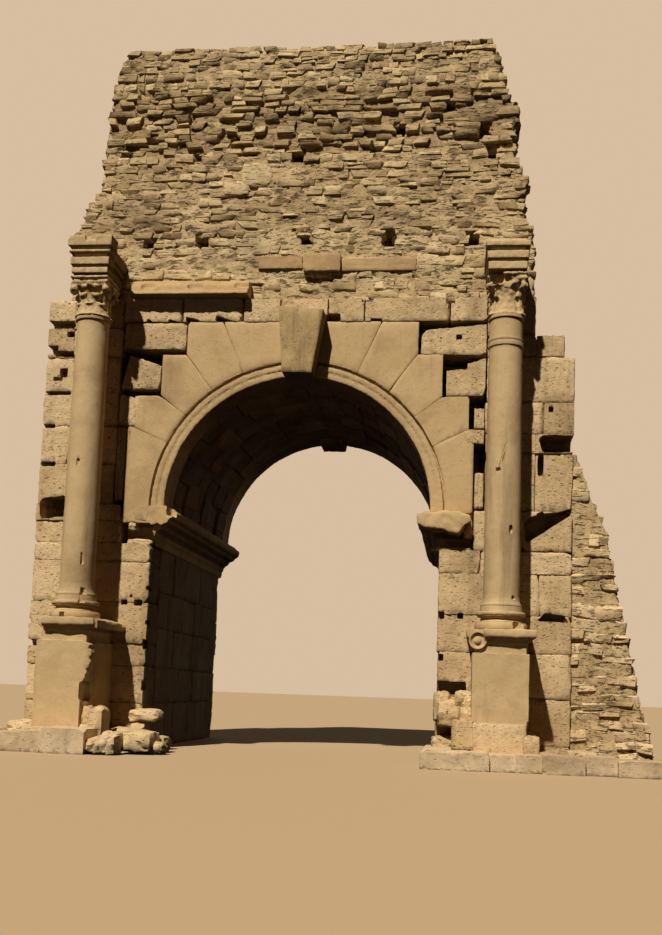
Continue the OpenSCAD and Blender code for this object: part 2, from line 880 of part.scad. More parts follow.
// A capital with two rows of leaves, corner scrolls and a hollow-sided top plate.
// What is worn away is left out by the count of scrolls and the share of leaf height.
module capital(side, scrolls, leaf_share) {
    bell_r = shaft_top_d / 2;
    bell_h = capital_h - abacus_h;
    rim_r = capital_w * 0.46;
    color(pale)
        on_column(side, capital_z) {
            cylinder(r1 = bell_r, r2 = rim_r, h = bell_h, $fn = round_fn);
            for (i = [0:7]) {
                rotate(45 * i)
                    leaf(bell_r, bell_h * 0.4 * leaf_share, bell_r * 0.6, bell_r * 0.3);
                rotate(45 * i + 22.5)
                    leaf(bell_r, bell_h * 0.72 * leaf_share, bell_r * 0.5, bell_r * 0.42);
            }
            for (i = [0:3])
                if (i < scrolls)
                    rotate(90 * i + 45 + 90 * (side > 0 ? 2 : 0))
                        translate([rim_r * 0.98, 0, bell_h * 0.83])
                            rotate([90, 0, 0])
                                cylinder(r = bell_h * 0.16, h = bell_r * 0.5, center = true,
                                         $fn = round_fn);
            translate([0, 0, bell_h])
                linear_extrude(height = abacus_h)
                    difference() {
                        square(capital_w, center = true);
                        for (i = [0:3])
                            rotate(90 * i)
                                translate([capital_w * 1.38, 0])
                                    circle(r = capital_w * 0.94, $fn = round_fn);
                    }
        }
}

module left_capital() {
    capital(-1, 4, 1);
}

module right_capital() {
    capital(1, 2, 0.85);
}

// The block of entablature over a capital. Its mouldings run round the front and both
// sides, and meet in mitres where the front profile and the side profile cross.
module entablature_block(side) {
    half = block_w / 2;
    wide = half + block_out;
    right = [for (p = block_profile) [half + block_out * p[0], block_z + block_h * p[1]]];
    front = [for (p = block_profile) [column_y + half + block_out * p[0], block_z + block_h * p[1]]];
    color(pale)
        placed()
            translate([side * column_x, 0, 0])
                intersection() {
                    upright(concat(right, reversed([for (p = right) [-p[0], p[1]]])),
                            -column_y - wide - over, attic_back);
                    rotate([0, 0, -90])
                        upright(concat(front, [[-attic_back, block_z + block_h], [-attic_back, block_z]]),
                                -wide - over, wide + over);
                }
}

module left_entablature_block() {
    entablature_block(-1);
}

module right_entablature_block() {
    entablature_block(1);
}

left_footing();
right_footing();
left_core();
left_front_ashlar();
left_back_ashlar();
left_passage_ashlar();
right_core();
right_front_ashlar();
right_back_ashlar();
right_passage_ashlar();
right_rubble_wing();
left_impost();
right_impost();
barrel_vault();
spandrel_core();
front_left_voussoirs();
front_right_voussoirs();
front_keystone();
back_left_voussoirs();
back_right_voussoirs();
back_keystone();
front_left_haunch();
front_right_haunch();
front_dressed_course();
back_dressed_course();
cornice_slab();
stub_slab();
attic_lower_lift();
attic_middle_lift();
attic_upper_lift();
attic_top_lift();
left_pedestal();
left_pedestal_slab();
left_column_base();
left_shaft();
left_capital();
left_entablature_block();
right_pedestal();
right_pedestal_slab();
right_column_base();
right_shaft();
right_shaft_drum();
right_capital();
right_entablature_block();
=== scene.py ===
"""Looks of a ruined triumphal arch: dressed stone below, coursed rubble above."""

import json
import math
import random

import bmesh
import bpy
import numpy as np
from mathutils import Matrix, Vector


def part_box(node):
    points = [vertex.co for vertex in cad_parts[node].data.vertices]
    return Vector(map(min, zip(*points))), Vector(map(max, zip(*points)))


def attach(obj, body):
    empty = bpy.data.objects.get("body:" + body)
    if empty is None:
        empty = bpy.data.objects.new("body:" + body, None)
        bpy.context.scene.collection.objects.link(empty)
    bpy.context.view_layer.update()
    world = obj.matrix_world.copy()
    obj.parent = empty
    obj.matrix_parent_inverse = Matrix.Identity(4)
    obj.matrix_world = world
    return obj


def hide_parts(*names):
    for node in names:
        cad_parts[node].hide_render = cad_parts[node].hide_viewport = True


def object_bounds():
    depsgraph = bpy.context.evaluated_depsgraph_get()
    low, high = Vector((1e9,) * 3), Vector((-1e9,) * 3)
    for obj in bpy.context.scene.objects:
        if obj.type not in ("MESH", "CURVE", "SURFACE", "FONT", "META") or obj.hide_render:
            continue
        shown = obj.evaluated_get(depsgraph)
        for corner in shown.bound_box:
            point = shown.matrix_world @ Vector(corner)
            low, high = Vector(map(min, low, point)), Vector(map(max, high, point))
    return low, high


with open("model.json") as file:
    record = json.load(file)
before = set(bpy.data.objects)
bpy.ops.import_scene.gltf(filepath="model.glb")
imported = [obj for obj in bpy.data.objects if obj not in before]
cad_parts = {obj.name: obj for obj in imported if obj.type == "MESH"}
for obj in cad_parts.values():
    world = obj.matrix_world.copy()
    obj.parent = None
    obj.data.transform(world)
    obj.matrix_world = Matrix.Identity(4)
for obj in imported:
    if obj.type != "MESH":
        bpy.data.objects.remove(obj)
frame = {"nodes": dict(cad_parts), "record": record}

cad_low, cad_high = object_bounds()
# The scene stays this far inside the frame's box
MARGIN = 0.0005

# Places taken from the frame, in metres
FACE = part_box("front_left_voussoirs")[0].y
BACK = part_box("back_left_voussoirs")[1].y
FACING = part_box("front_left_voussoirs")[1].y - FACE
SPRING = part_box("left_impost")[1].z
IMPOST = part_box("left_impost")[0].z
JAMB = -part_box("left_passage_ashlar")[1].x
VAULT_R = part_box("front_keystone")[0].z - SPRING
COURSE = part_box("front_dressed_course")[0].z
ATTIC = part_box("front_dressed_course")[1].z
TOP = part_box("attic_top_lift")[1].z
WALL_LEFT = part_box("left_front_ashlar")[0].x
WALL_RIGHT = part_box("right_front_ashlar")[1].x
HAUNCH = -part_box("front_dressed_course")[0].x
ATTIC_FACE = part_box("attic_top_lift")[0].y
ATTIC_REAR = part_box("attic_top_lift")[1].y
MIDDLE_Y = 0.5 * (FACE + BACK)

# Width of the moulded band round the arch
ARCHIVOLT = 0.30
# Dressed stones run into each other a little, which hides their rounded edges
JOINT = -0.006
KEY_ANGLE = 90 - 6.2
# Angles of the joints between voussoirs, and the corners of their stepped outer edge
RING_ANGLES = [KEY_ANGLE, 67, 53, 38.5, 25.5, 0]
CORNERS = [(2.19, 7.417), (2.653, 6.62), (3.15, 6.012), (3.25, SPRING)]

SIDES = ((-1, "left"), (1, "right"))
# Each face, with the way into the masonry from it
FACES = (("front", FACE, 1), ("back", BACK, -1))

rng = random.Random(12)


# Tools for modelling

def only(piece):
    bpy.ops.object.select_all(action="DESELECT")
    piece.select_set(True)
    bpy.context.view_layer.objects.active = piece


def apply(piece, kind, **settings):
    only(piece)
    modifier = piece.modifiers.new("step", kind)
    for key, value in settings.items():
        setattr(modifier, key, value)
    bpy.ops.object.modifier_apply(modifier=modifier.name)


def roughen(piece, size, strength, depth=2):
    """Uneven surface from cloudy noise, with lumps of the size given"""
    texture = bpy.data.textures.new("clouds", "CLOUDS")
    texture.noise_scale = size
    texture.noise_depth = depth
    apply(piece, "DISPLACE", texture=texture, strength=strength, mid_level=0.5, texture_coords="LOCAL")


def begin_edit(piece):
    only(piece)
    bpy.ops.object.mode_set(mode="EDIT")
    return bmesh.from_edit_mesh(piece.data)


def end_edit():
    bpy.ops.object.mode_set(mode="OBJECT")


def box_piece(name, low, high):
    """A box between two corners, with its place in its mesh"""
    bpy.ops.object.select_all(action="DESELECT")
    bpy.ops.mesh.primitive_cube_add(size=1)
    piece = bpy.context.active_object
    piece.name = name
    low, high = Vector(low), Vector(high)
    for vertex in piece.data.vertices:
        vertex.co = [low[i] + (vertex.co[i] + 0.5) * (high[i] - low[i]) for i in range(3)]
    return piece


def points_of(piece, field="co"):
    points = np.empty(len(piece.data.vertices) * 3)
    piece.data.vertices.foreach_get(field, points)
    return points.reshape(-1, 3)


def set_points(piece, points):
    piece.data.vertices.foreach_set("co", np.ascontiguousarray(points).ravel())
    piece.data.update()


def take_apart(piece):
    """The points and triangles of a piece, which is then removed"""
    apply(piece, "TRIANGULATE")
    mesh = piece.data
    triangles = np.empty(len(mesh.polygons) * 3, dtype=np.int32)
    mesh.loops.foreach_get("vertex_index", triangles)
    points = points_of(piece)
    bpy.data.objects.remove(piece)
    bpy.data.meshes.remove(mesh)
    return points, triangles.reshape(-1, 3)


def paint(piece, layer, values):
    """Writes a number for each point of a piece, or the same one for all"""
    layers = piece.data.attributes
    field = layers.get(layer) or layers.new(layer, "FLOAT", "POINT")
    values = np.broadcast_to(np.asarray(values, dtype=np.float32), len(piece.data.vertices))
    field.data.foreach_set("value", np.ascontiguousarray(values))


def mesh_piece(name, points, triangles, tones=None):
    mesh = bpy.data.meshes.new(name)
    mesh.vertices.add(len(points))
    mesh.vertices.foreach_set("co", np.ascontiguousarray(points, dtype=np.float32).ravel())
    mesh.loops.add(3 * len(triangles))
    mesh.loops.foreach_set("vertex_index", np.ascontiguousarray(triangles, dtype=np.int32).ravel())
    mesh.polygons.add(len(triangles))
    mesh.polygons.foreach_set("loop_start", np.arange(0, 3 * len(triangles), 3, dtype=np.int32))
    mesh.update(calc_edges=True)
    piece = bpy.data.objects.new(name, mesh)
    bpy.context.scene.collection.objects.link(piece)
    if tones is not None:
        paint(piece, "stone_tone", tones)
    return piece


def paint_shade(piece, sides):
    """Marks undersides, and the left or right sides where that is asked for, to be painted with shade"""
    normals = points_of(piece, "normal")
    painted_shade = np.clip((-normals[:, 2] - 0.35) / 0.4, 0, 1)
    for side, wanted in zip((-1, 1), sides):
        painted_shade = np.maximum(painted_shade, wanted * np.clip((side * normals[:, 0] - 0.4) / 0.3, 0, 1))
    paint(piece, "painted_shade", painted_shade)


def finish_piece(piece, material, node=None, tone=None, degrees=38, sides=(0, 0)):
    """Keeps a piece inside the model's box, gives it its finish and ties it to the frame"""
    if tone is not None:
        paint(piece, "stone_tone", tone)
    low, high = np.array(cad_low) + MARGIN, np.array(cad_high) - MARGIN
    set_points(piece, np.clip(points_of(piece), low, high))
    # Undersides and the sides asked for are marked for painted shade
    paint_shade(piece, sides)
    only(piece)
    bpy.ops.object.shade_smooth_by_angle(angle=math.radians(degrees))
    piece.data.materials.clear()
    piece.data.materials.append(material)
    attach(piece, "root")
    if node:
        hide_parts(node)
    return piece


def lofted(name, rings):
    """A closed piece drawn out from one ring of points to the next"""
    bpy.ops.object.select_all(action="DESELECT")
    bpy.ops.mesh.primitive_circle_add(vertices=len(rings[0]), fill_type="NGON")
    piece = bpy.context.active_object
    piece.name = name
    rings = [np.array(ring, float) for ring in rings]
    set_points(piece, rings[0])
    begin_edit(piece)
    bpy.ops.mesh.select_all(action="SELECT")
    for before, ring in zip(rings, rings[1:]):
        bpy.ops.mesh.extrude_region_move()
        shape = bmesh.from_edit_mesh(piece.data)
        for vertex in shape.verts:
            if vertex.select:
                vertex.co = ring[np.argmin(((before - np.array(vertex.co)) ** 2).sum(1))]
        bmesh.update_edit_mesh(piece.data)
    bpy.ops.mesh.select_all(action="SELECT")
    bpy.ops.mesh.normals_make_consistent(inside=False)
    end_edit()
    return piece


def circle(r, z, centre=(0, 0), count=56):
    turns = np.linspace(0, 2 * np.pi, count, endpoint=False)
    return np.column_stack([centre[0] + r * np.cos(turns), centre[1] + r * np.sin(turns), np.full(count, z)])


def rectangle(x0, x1, y0, y1, z):
    return [(x0, y0, z), (x1, y0, z), (x1, y1, z), (x0, y1, z)]


def weather(piece, voxel, lumps, kept):
    """Wears a piece: lumps is a list of sizes and strengths"""
    apply(piece, "REMESH", mode="VOXEL", voxel_size=voxel)
    for size, strength in lumps:
        roughen(piece, size, strength)
    apply(piece, "DECIMATE", ratio=kept)


# Single stones, each inside a cube from 0 to 1

def unit_stone(piece, low=None, size=None):
    """A stone whose box is the unit cube; with its first box given, worn faces lie on both sides of it"""
    points, triangles = take_apart(piece)
    low = points.min(0) if low is None else np.array(low)
    size = np.ptp(points, axis=0) if size is None else np.array(size)
    return (points - low) / size, triangles


def quarried_stone(seed, chips, coarse, fine, voxel=0.03, kept=0.16):
    """A large dressed stone: chipped at its corners, uneven on its faces"""
    draw = random.Random(seed)
    size = Vector((1.15, 0.7, 0.66))
    away = Vector((seed * 3.7, seed * 1.3, 0))
    piece = box_piece("stone", (0, 0, 0), size)
    begin_edit(piece)
    for _ in range(chips):
        corner = Vector([draw.choice((0, 1)) * size[i] for i in range(3)])
        out = (corner - size / 2).normalized()
        normal = (out + Vector([draw.uniform(-0.5, 0.5) for _ in range(3)])).normalized()
        bpy.ops.mesh.select_all(action="SELECT")
        bpy.ops.mesh.bisect(plane_co=corner - normal * draw.uniform(0.02, 0.07), plane_no=normal,
                            use_fill=True, clear_outer=True)
    bpy.ops.mesh.select_all(action="SELECT")
    bpy.ops.transform.translate(value=away)
    end_edit()
    apply(piece, "REMESH", mode="VOXEL", voxel_size=voxel)
    roughen(piece, 0.4, coarse)
    roughen(piece, 0.09, fine, 3)
    apply(piece, "DECIMATE", ratio=kept)
    return unit_stone(piece, away, size)


def rubble_stone(seed, rounding, uneven):
    """A small stone for rubble: bevelled, split off on one side, lopsided and of few faces"""
    draw = random.Random(seed)
    piece = box_piece("stone", (0, 0, 0), (1.3, 1, 0.8))
    begin_edit(piece)
    bpy.ops.mesh.select_all(action="SELECT")
    bpy.ops.mesh.bevel(offset=rounding, segments=1, affect="EDGES")
    side = draw.choice((-1, 1))
    bpy.ops.mesh.select_all(action="SELECT")
    bpy.ops.mesh.bisect(plane_co=(0.65 + side * draw.uniform(0.3, 0.5), 0.5, 0.5),
                        plane_no=(side, draw.uniform(-0.3, 0.3), draw.uniform(-0.4, 0.4)),
                        use_fill=True, clear_outer=True)
    bpy.ops.mesh.select_all(action="SELECT")
    bpy.ops.transform.translate(value=(seed * 5.3, seed * 2.1, seed))
    end_edit()
    roughen(piece, 0.6, uneven, 1)
    return unit_stone(piece)


def hollow(seed):
    """The shape of a rough hole"""
    piece = box_piece("stone", (0, 0, 0), (1.3, 1, 0.8))
    begin_edit(piece)
    bpy.ops.mesh.select_all(action="SELECT")
    bpy.ops.mesh.subdivide(number_cuts=1)
    bpy.ops.mesh.bevel(offset=0.14, segments=2, affect="EDGES")
    bpy.ops.transform.translate(value=(seed * 3.3, seed * 1.1, seed))
    end_edit()
    roughen(piece, 0.5, 0.22, 1)
    return unit_stone(piece)


def boulder(seed):
    """A rounded, weathered lump"""
    piece = box_piece("stone", (0, 0, 0), (1.2, 1, 0.9))
    begin_edit(piece)
    bpy.ops.mesh.select_all(action="SELECT")
    bpy.ops.mesh.subdivide(number_cuts=6, smoothness=0.5)
    bpy.ops.transform.translate(value=(seed * 4.1, seed * 2.7, 0))
    end_edit()
    roughen(piece, 0.5, 0.3)
    roughen(piece, 0.14, 0.1)
    return unit_stone(piece)


DRESSED = [quarried_stone(seed, 3 + seed % 3, 0.03, 0.034, 0.026, 0.085) for seed in range(9)]
FINE = [quarried_stone(20 + seed, 1, 0.014, 0.012) for seed in range(6)]
PLAIN = [quarried_stone(30 + seed, 2, 0.05, 0.03, 0.05, 0.12) for seed in range(6)]
RUBBLE = [rubble_stone(40 + seed, 0.13, 0.42) for seed in range(16)]
BOULDERS = [boulder(60 + seed) for seed in range(6)]
HOLLOWS = [hollow(80 + seed) for seed in range(6)]


# Masonry: copies of stones, joined into one piece

def box_shape(low, high):
    low, high = np.array(low, float), np.array(high, float)
    return lambda p: low + p * (high - low)


def quad_shape(corners, y0, y1):
    """Fills a four-cornered outline in the plane of the faces; corners go round from the lower left"""
    a, b, c, d = [np.array(corner, float) for corner in corners]

    def shape(p):
        u, w = p[:, :1], p[:, 2:]
        flat = (1 - w) * ((1 - u) * a + u * b) + w * ((1 - u) * d + u * c)
        return np.column_stack([flat[:, 0], y0 + p[:, 1] * (y1 - y0), flat[:, 1]])
    return shape


def ring_shape(a0, a1, r0, r1, y0, y1):
    """Bends a stone round the axis of the vault, between two angles in degrees"""
    def shape(p):
        angle = np.radians(a0 + p[:, 0] * (a1 - a0))
        r = r0 + p[:, 2] * (r1 - r0)
        return np.column_stack([r * np.cos(angle), y0 + p[:, 1] * (y1 - y0), SPRING + r * np.sin(angle)])
    return shape


def stepped_shape(side, a0, a1, r0, outline, y0, y1):
    """A voussoir: its inner edge is round, and its outer edge follows an outline of points"""
    outline = np.array(outline, float)
    stops = np.linspace(0, 1, len(outline))

    def shape(p):
        u, w = p[:, 0], p[:, 2]
        angle = np.radians(a0 + u * (a1 - a0))
        outer_x = np.interp(u, stops, outline[:, 0])
        outer_z = np.interp(u, stops, outline[:, 1])
        x = (1 - w) * r0 * np.cos(angle) + w * outer_x
        z = (1 - w) * (SPRING + r0 * np.sin(angle)) + w * outer_z
        return np.column_stack([side * x, y0 + p[:, 1] * (y1 - y0), z])
    return shape


class Masonry:
    """Collects stones and joins them"""

    def __init__(self, stones, tone=0.5, spread=0.3):
        self.stones = stones
        self.tone = tone
        self.spread = spread
        self.points = []
        self.triangles = []
        self.tones = []
        self.count = 0

    def add(self, points, triangles, tone=0.5):
        self.points.append(points)
        self.triangles.append(triangles + self.count)
        self.tones.append(np.full(len(points), tone))
        self.count += len(points)

    def lay(self, shape, cuts=(), tone=None, stones=None):
        """Lays one stone in a shape, with rough holes cut where cuts are given"""
        points, triangles = rng.choice(stones or self.stones)
        flip = np.array(rng.choice([(1, 1, 1), (-1, -1, 1), (-1, 1, -1), (1, -1, -1)]))
        placed = shape((points - 0.5) * flip + 0.5)
        probe = shape(np.array([[.5, .5, .5], [.52, .5, .5], [.5, .52, .5], [.5, .5, .52]]))
        if np.linalg.det(probe[1:] - probe[0]) < 0:
            triangles = triangles[:, ::-1]
        if tone is None:
            tone = self.tone + self.spread * rng.uniform(-1, 1)
        low, high = placed.min(0), placed.max(0)
        hits = [cut for cut in cuts if np.all(cut[0] < high) and np.all(cut[1] > low)]
        if hits:
            stone = mesh_piece("stone", placed, triangles)
            carve(stone, hits)
            placed, triangles = take_apart(stone)
        self.add(placed, triangles, tone)

    def join(self, name):
        return mesh_piece(name, np.concatenate(self.points), np.concatenate(self.triangles),
                          np.concatenate(self.tones))


def carve(piece, cuts):
    """Cuts rough holes out of a piece, each given by its two corners and perhaps a shape of its own"""
    for number, (low, high, *own) in enumerate(cuts):
        points, triangles = HOLLOWS[number % len(HOLLOWS)]
        shape = own[0] if own else box_shape(low, high)
        cutter = mesh_piece("cutter", shape(points), triangles)
        apply(piece, "BOOLEAN", object=cutter, operation="DIFFERENCE", solver="EXACT")
        bpy.data.objects.remove(cutter)


def face_cut(x0, x1, z0, z1, depth=0.4, y=None):
    """A hole in the front face, between two distances from the axis and two heights"""
    y = FACE if y is None else y
    return (np.array([x0, y - 0.3, z0]), np.array([x1, y + depth, z1]))


def face_cuts(*places):
    return [face_cut(*place) for place in places]


def slanting_cut(corners, depth, y=None):
    """A hole whose four corners on the face go round from the lower left"""
    xs, zs = zip(*corners)
    low, high = face_cut(min(xs), max(xs), min(zs), max(zs), depth, y)
    return (low, high, quad_shape(corners, low[1], high[1]))


class Side:
    """One side of the masonry: s runs along it, z runs up, and d is the distance behind its face"""

    def __init__(self, place, sway=0.0):
        self.place = place
        self.sway = sway

    def quad(self, s0, s1, z0, z1, d0, d1, jitter):
        """The shape of one stone, with its corners moved a little and its bed swaying up and down"""
        corners = [np.array(c) + [rng.uniform(-jitter, jitter), rng.uniform(-jitter, jitter)]
                   for c in ((s0, z0), (s1, z0), (s1, z1), (s0, z1))]
        flat = quad_shape(corners, d0, d1)

        def shape(p):
            q = flat(p)
            s, z = q[:, 0], q[:, 2]
            sway = (np.sin(1.1 * s + 0.7 * z + 1) + 0.6 * np.sin(2.7 * s - 1.9 * z)
                    + 0.4 * np.sin(6.1 * s + 3.3 * z))
            return self.place(s, q[:, 1], z + self.sway * sway)
        return shape


def stacked(x, y, z):
    return np.column_stack(np.broadcast_arrays(x, y, z))


def face_side(y, into, sway=0.0):
    """A wall along the front, where into is 1, or along the back, where it is -1"""
    return Side(lambda s, d, z: stacked(s, y + into * d, z), sway)


def end_side(x_at, outward, sway=0.0):
    """A wall across the masonry, seen from the left (-1) or the right (1); x_at tables height and place"""
    return Side(lambda s, d, z: stacked(np.interp(z, *x_at) - outward * d, s, z), sway)


def clear_runs(start, end, low, high, gaps):
    """The lengths of a course that no gap takes"""
    runs = [(start, end)]
    for s0, s1, z0, z1 in gaps:
        if min(high, z1) - max(low, z0) < 0.45 * (high - low):
            continue
        runs = [part for a, b in runs for part in ((a, min(b, s0)), (max(a, s1), b)) if part[1] > part[0]]
    return runs


def lay_courses(masonry, side, beds, reach, length, depth, joint=JOINT, relief=0.0, jitter=0.0,
                ragged=0.0, missing=0.0, split=0.0, gaps=(), cuts=()):
    """Fills a wall with courses between beds; reach gives both ends at a height. Some stones may be
    missing, and some places may hold two thin stones"""
    half = joint / 2
    for low, high in zip(beds, beds[1:]):
        start, end = reach(0.5 * (low + high))
        start += rng.uniform(0, ragged)
        end -= rng.uniform(0, ragged)
        for run_start, run_end in clear_runs(start, end, low, high, gaps):
            s = run_start
            while s < run_end - 0.02:
                e = s + length * rng.choice((0.5, 0.7, 0.85, 1, 1, 1.2, 1.5))
                if run_end - e < 0.45 * length:
                    e = run_end
                middle = low + rng.uniform(0.4, 0.6) * (high - low)
                parts = [(low, middle), (middle, high)] if rng.random() < split else [(low, high)]
                for z0, z1 in parts:
                    d = relief * rng.random() ** 2
                    if rng.random() >= missing:
                        stone = side.quad(s + half, e - half, z0 + half, z1 - half, d, depth, jitter)
                        masonry.lay(stone, cuts)
                s = e


def even_beds(low, high, course, spread=0.22):
    """Heights of beds, with courses that vary a little"""
    count = max(1, round((high - low) / course))
    steps = np.array([1 + spread * rng.uniform(-1, 1) for _ in range(count)])
    return [low, *(low + (high - low) * np.cumsum(steps) / steps.sum())]


# Shader nodes

class Value:
    """The output of a shader node, which can be worked with like a number"""

    def __init__(self, finish, socket):
        self.finish = finish
        self.socket = socket

    def math(self, operation, first, second, clamp=False):
        return self.finish.node("Math", {"operation": operation, "use_clamp": clamp}, {0: first, 1: second})

    def __add__(self, other):
        return self.math("ADD", self, other)

    def __sub__(self, other):
        return self.math("SUBTRACT", self, other)

    def __rsub__(self, other):
        return self.math("SUBTRACT", other, self)

    def __mul__(self, other):
        return self.math("MULTIPLY", self, other)

    def above(self, edge, width):
        """0 below the edge, 1 above it, over the width given"""
        return self.math("MULTIPLY", self - edge, 1 / width, True)

    __radd__ = __add__
    __rmul__ = __mul__


def linear(red, green, blue):
    """A colour as it is seen, from 0 to 255, as linear light"""
    def channel(c):
        c /= 255
        return c / 12.92 if c <= 0.04045 else ((c + 0.055) / 1.055) ** 2.4
    return (channel(red), channel(green), channel(blue), 1)


class Sky:
    """A node tree under construction"""

    def __init__(self, tree):
        self.tree = tree

    def node(self, kind, settings=(), sockets=(), output=0):
        made = self.tree.nodes.new("ShaderNode" + kind)
        for key, value in dict(settings).items():
            setattr(made, key, value)
        for key, value in dict(sockets).items():
            if isinstance(value, Value):
                self.tree.links.new(value.socket, made.inputs[key])
            else:
                made.inputs[key].default_value = value
        return None if output is None else Value(self, made.outputs[output])


class Finish(Sky):
    """A procedural material under construction"""

    def __init__(self, name):
        self.material = bpy.data.materials.new(name)
        self.material.use_nodes = True
        super().__init__(self.material.node_tree)
        self.shader = self.tree.nodes["Principled BSDF"]

    def place(self, stretch=(1, 1, 1)):
        coordinates = self.node("TexCoord", output="Object")
        return self.node("Mapping", {}, {"Vector": coordinates, "Scale": stretch})

    def noise(self, scale, detail=4, stretch=(1, 1, 1), roughness=0.55):
        return self.node("TexNoise", {}, {"Vector": self.place(stretch), "Scale": scale, "Detail": detail,
                                          "Roughness": roughness})

    def mix(self, amount, first, second, blend="MIX"):
        return self.node("Mix", {"data_type": "RGBA", "blend_type": blend, "clamp_factor": True},
                         {0: amount, 6: first, 7: second}, 2)

    def connect(self, key, value):
        self.tree.links.new(value.socket, self.shader.inputs[key])


def stone_finish(name, light, middle, dark, stain, stains=0.5, streaks=0.3, pits=0.5, bump=0.5,
                 roughness=0.86, tone_weight=0.55, marks=0.0, painted_shade=0.75):
    """Weathered stone: the tone of each stone, broad stains, streaks, pits along the bedding and grain, with
    painted shade in the pits and bed marks and on the places that the pieces mark for it
    """
    f = Finish(name)
    tone = f.node("Attribute", {"attribute_name": "stone_tone"}, output="Fac")
    cloud = f.noise(1.6, 5)
    shade = tone * tone_weight + cloud * (1.35 * (1 - tone_weight)) - 0.12
    colour = f.mix(shade.above(0.08, 0.42), linear(*dark), linear(*middle))
    colour = f.mix(shade.above(0.45, 0.4), colour, linear(*light))
    mottle = f.noise(9, 6, roughness=0.7)
    colour = f.mix(mottle.above(0.5, 0.3) * 0.35, colour, linear(*dark))
    colour = f.mix(mottle.above(0.62, 0.2) * 0.4, colour, linear(*light))
    patches = f.noise(0.55, 6, roughness=0.62)
    colour = f.mix(patches.above(0.52, 0.16) * stains, colour, linear(*stain))
    runs = f.noise(1, 5, (3.2, 3.2, 0.3), 0.6)
    colour = f.mix(runs.above(0.53, 0.2) * streaks, colour, linear(*stain))
    # Pits: the bump sinks them, and their colour is darkened as painted shade inside them
    pores = f.noise(17, 3, (1, 1, 2.6), 0.6)
    holes = pores.above(0.62, 0.07)
    colour = f.mix(holes * pits, colour, linear(*[0.35 * c for c in stain]))
    grain = f.noise(42, 4, roughness=0.7)
    height = cloud * 0.5 + mottle * 0.6 + grain * 0.22 - holes * (0.9 * pits)
    # Bed marks: the bump sinks them, and their colour is darkened as painted shade in the grooves
    if marks:
        beds = f.noise(5.5, 3, (1, 1, 3.4), 0.6).above(0.56, 0.07)
        colour = f.mix(beds * marks, colour, linear(*[0.5 * c for c in stain]))
        height = height - beds * (1.6 * marks)
    # Painted shade: undersides, shaded sides, joints and holes marked on the pieces are darkened towards a
    # dark stain colour
    painted_shade_mask = f.node("Attribute", {"attribute_name": "painted_shade"}, output="Fac")
    colour = f.mix(painted_shade_mask * painted_shade, colour, linear(*[0.4 * c for c in stain]))
    normal = f.node("Bump", {}, {"Strength": bump, "Distance": 0.045, "Height": height})
    f.connect("Base Color", colour)
    f.connect("Normal", normal)
    f.shader.inputs["Roughness"].default_value = roughness
    f.shader.inputs["Specular IOR Level"].default_value = 0.25
    return f.material


# Each finish also paints shade: into its pits and bed marks, and on the undersides, shaded sides and recesses
# that the pieces mark
ashlar_stone = stone_finish("weathered_travertine", (220, 190, 144), (204, 172, 124), (168, 137, 94),
                            (112, 84, 50), streaks=0.4, pits=0.9, bump=0.8)
carved_stone = stone_finish("dressed_travertine", (202, 170, 122), (186, 153, 104), (162, 130, 85),
                            (118, 90, 54), pits=0.3, bump=0.3)
key_stone = stone_finish("stained_travertine", (204, 174, 122), (178, 147, 98), (134, 106, 68),
                         (78, 60, 38), stains=0.7, streaks=0.7, pits=0.6)
marble = stone_finish("worn_marble", (206, 176, 128), (190, 158, 110), (164, 131, 86),
                      (114, 86, 52), stains=0.4, streaks=0.55, pits=0.22, bump=0.28, roughness=0.75)
rubble_stones = stone_finish("attic_rubble", (216, 188, 139), (194, 164, 115), (148, 120, 79),
                             (104, 80, 50), stains=0.45, tone_weight=0.65, marks=0.45, bump=0.7, painted_shade=0.5)
mortar = stone_finish("old_mortar", (216, 187, 138), (194, 163, 115), (146, 118, 78), (96, 74, 46),
                      stains=0.5, pits=0.8, bump=0.9, marks=0.7)
# A darker stone for the vault's underside
soffit_stone = stone_finish("dark_vault_travertine", (168, 134, 92), (132, 102, 66), (92, 70, 44),
                            (36, 25, 16), stains=0.7, streaks=0.4, painted_shade=0)
jamb_stone = stone_finish("dark_travertine", (172, 144, 102), (146, 118, 80), (110, 86, 56), (72, 54, 34),
                          stains=0.7, streaks=0.5)
wing_stones = stone_finish("wing_rubble", (222, 192, 144), (204, 171, 122), (164, 132, 88), (112, 86, 54),
                           tone_weight=0.65, marks=0.7, bump=0.7, painted_shade=0.6)
footing_stones = stone_finish("footing_stone", (224, 194, 152), (206, 175, 132), (176, 145, 104),
                              (120, 94, 62))


# Left and right side masses

LEFT_BEDS = [0, 0.83, 1.5, 1.93, 2.68, 3.44, 4.2, 4.68, 5.28, 6.02, 6.67, 7.36, 7.93, 8.49]
RIGHT_BEDS = [0, 0.33, 1.16, 1.95, 2.62, 3.37, 3.93, 4.5, 5.58, 5.93, 6.52, 7.37, 7.78, ATTIC]
LINING_BEDS = [0, 0.83, 1.5, 2.25, 2.95, IMPOST]
# The right end has its dressed stones from here up, above the rubble
RIGHT_END_START = 7
# The imposts reach this far into the masonry
IMPOST_IN = 0.6
# The rubble inside lies this far behind the stones of the end
CORE_BEHIND = 0.1
# Outer ends of the walls, by height
LEFT_END = ([0, ATTIC], [WALL_LEFT, WALL_LEFT])
RIGHT_END = ([0, 7.37, 7.38, 7.78, 7.79, ATTIC], [WALL_RIGHT, WALL_RIGHT, 4.87, 4.87, 4.36, 4.36])
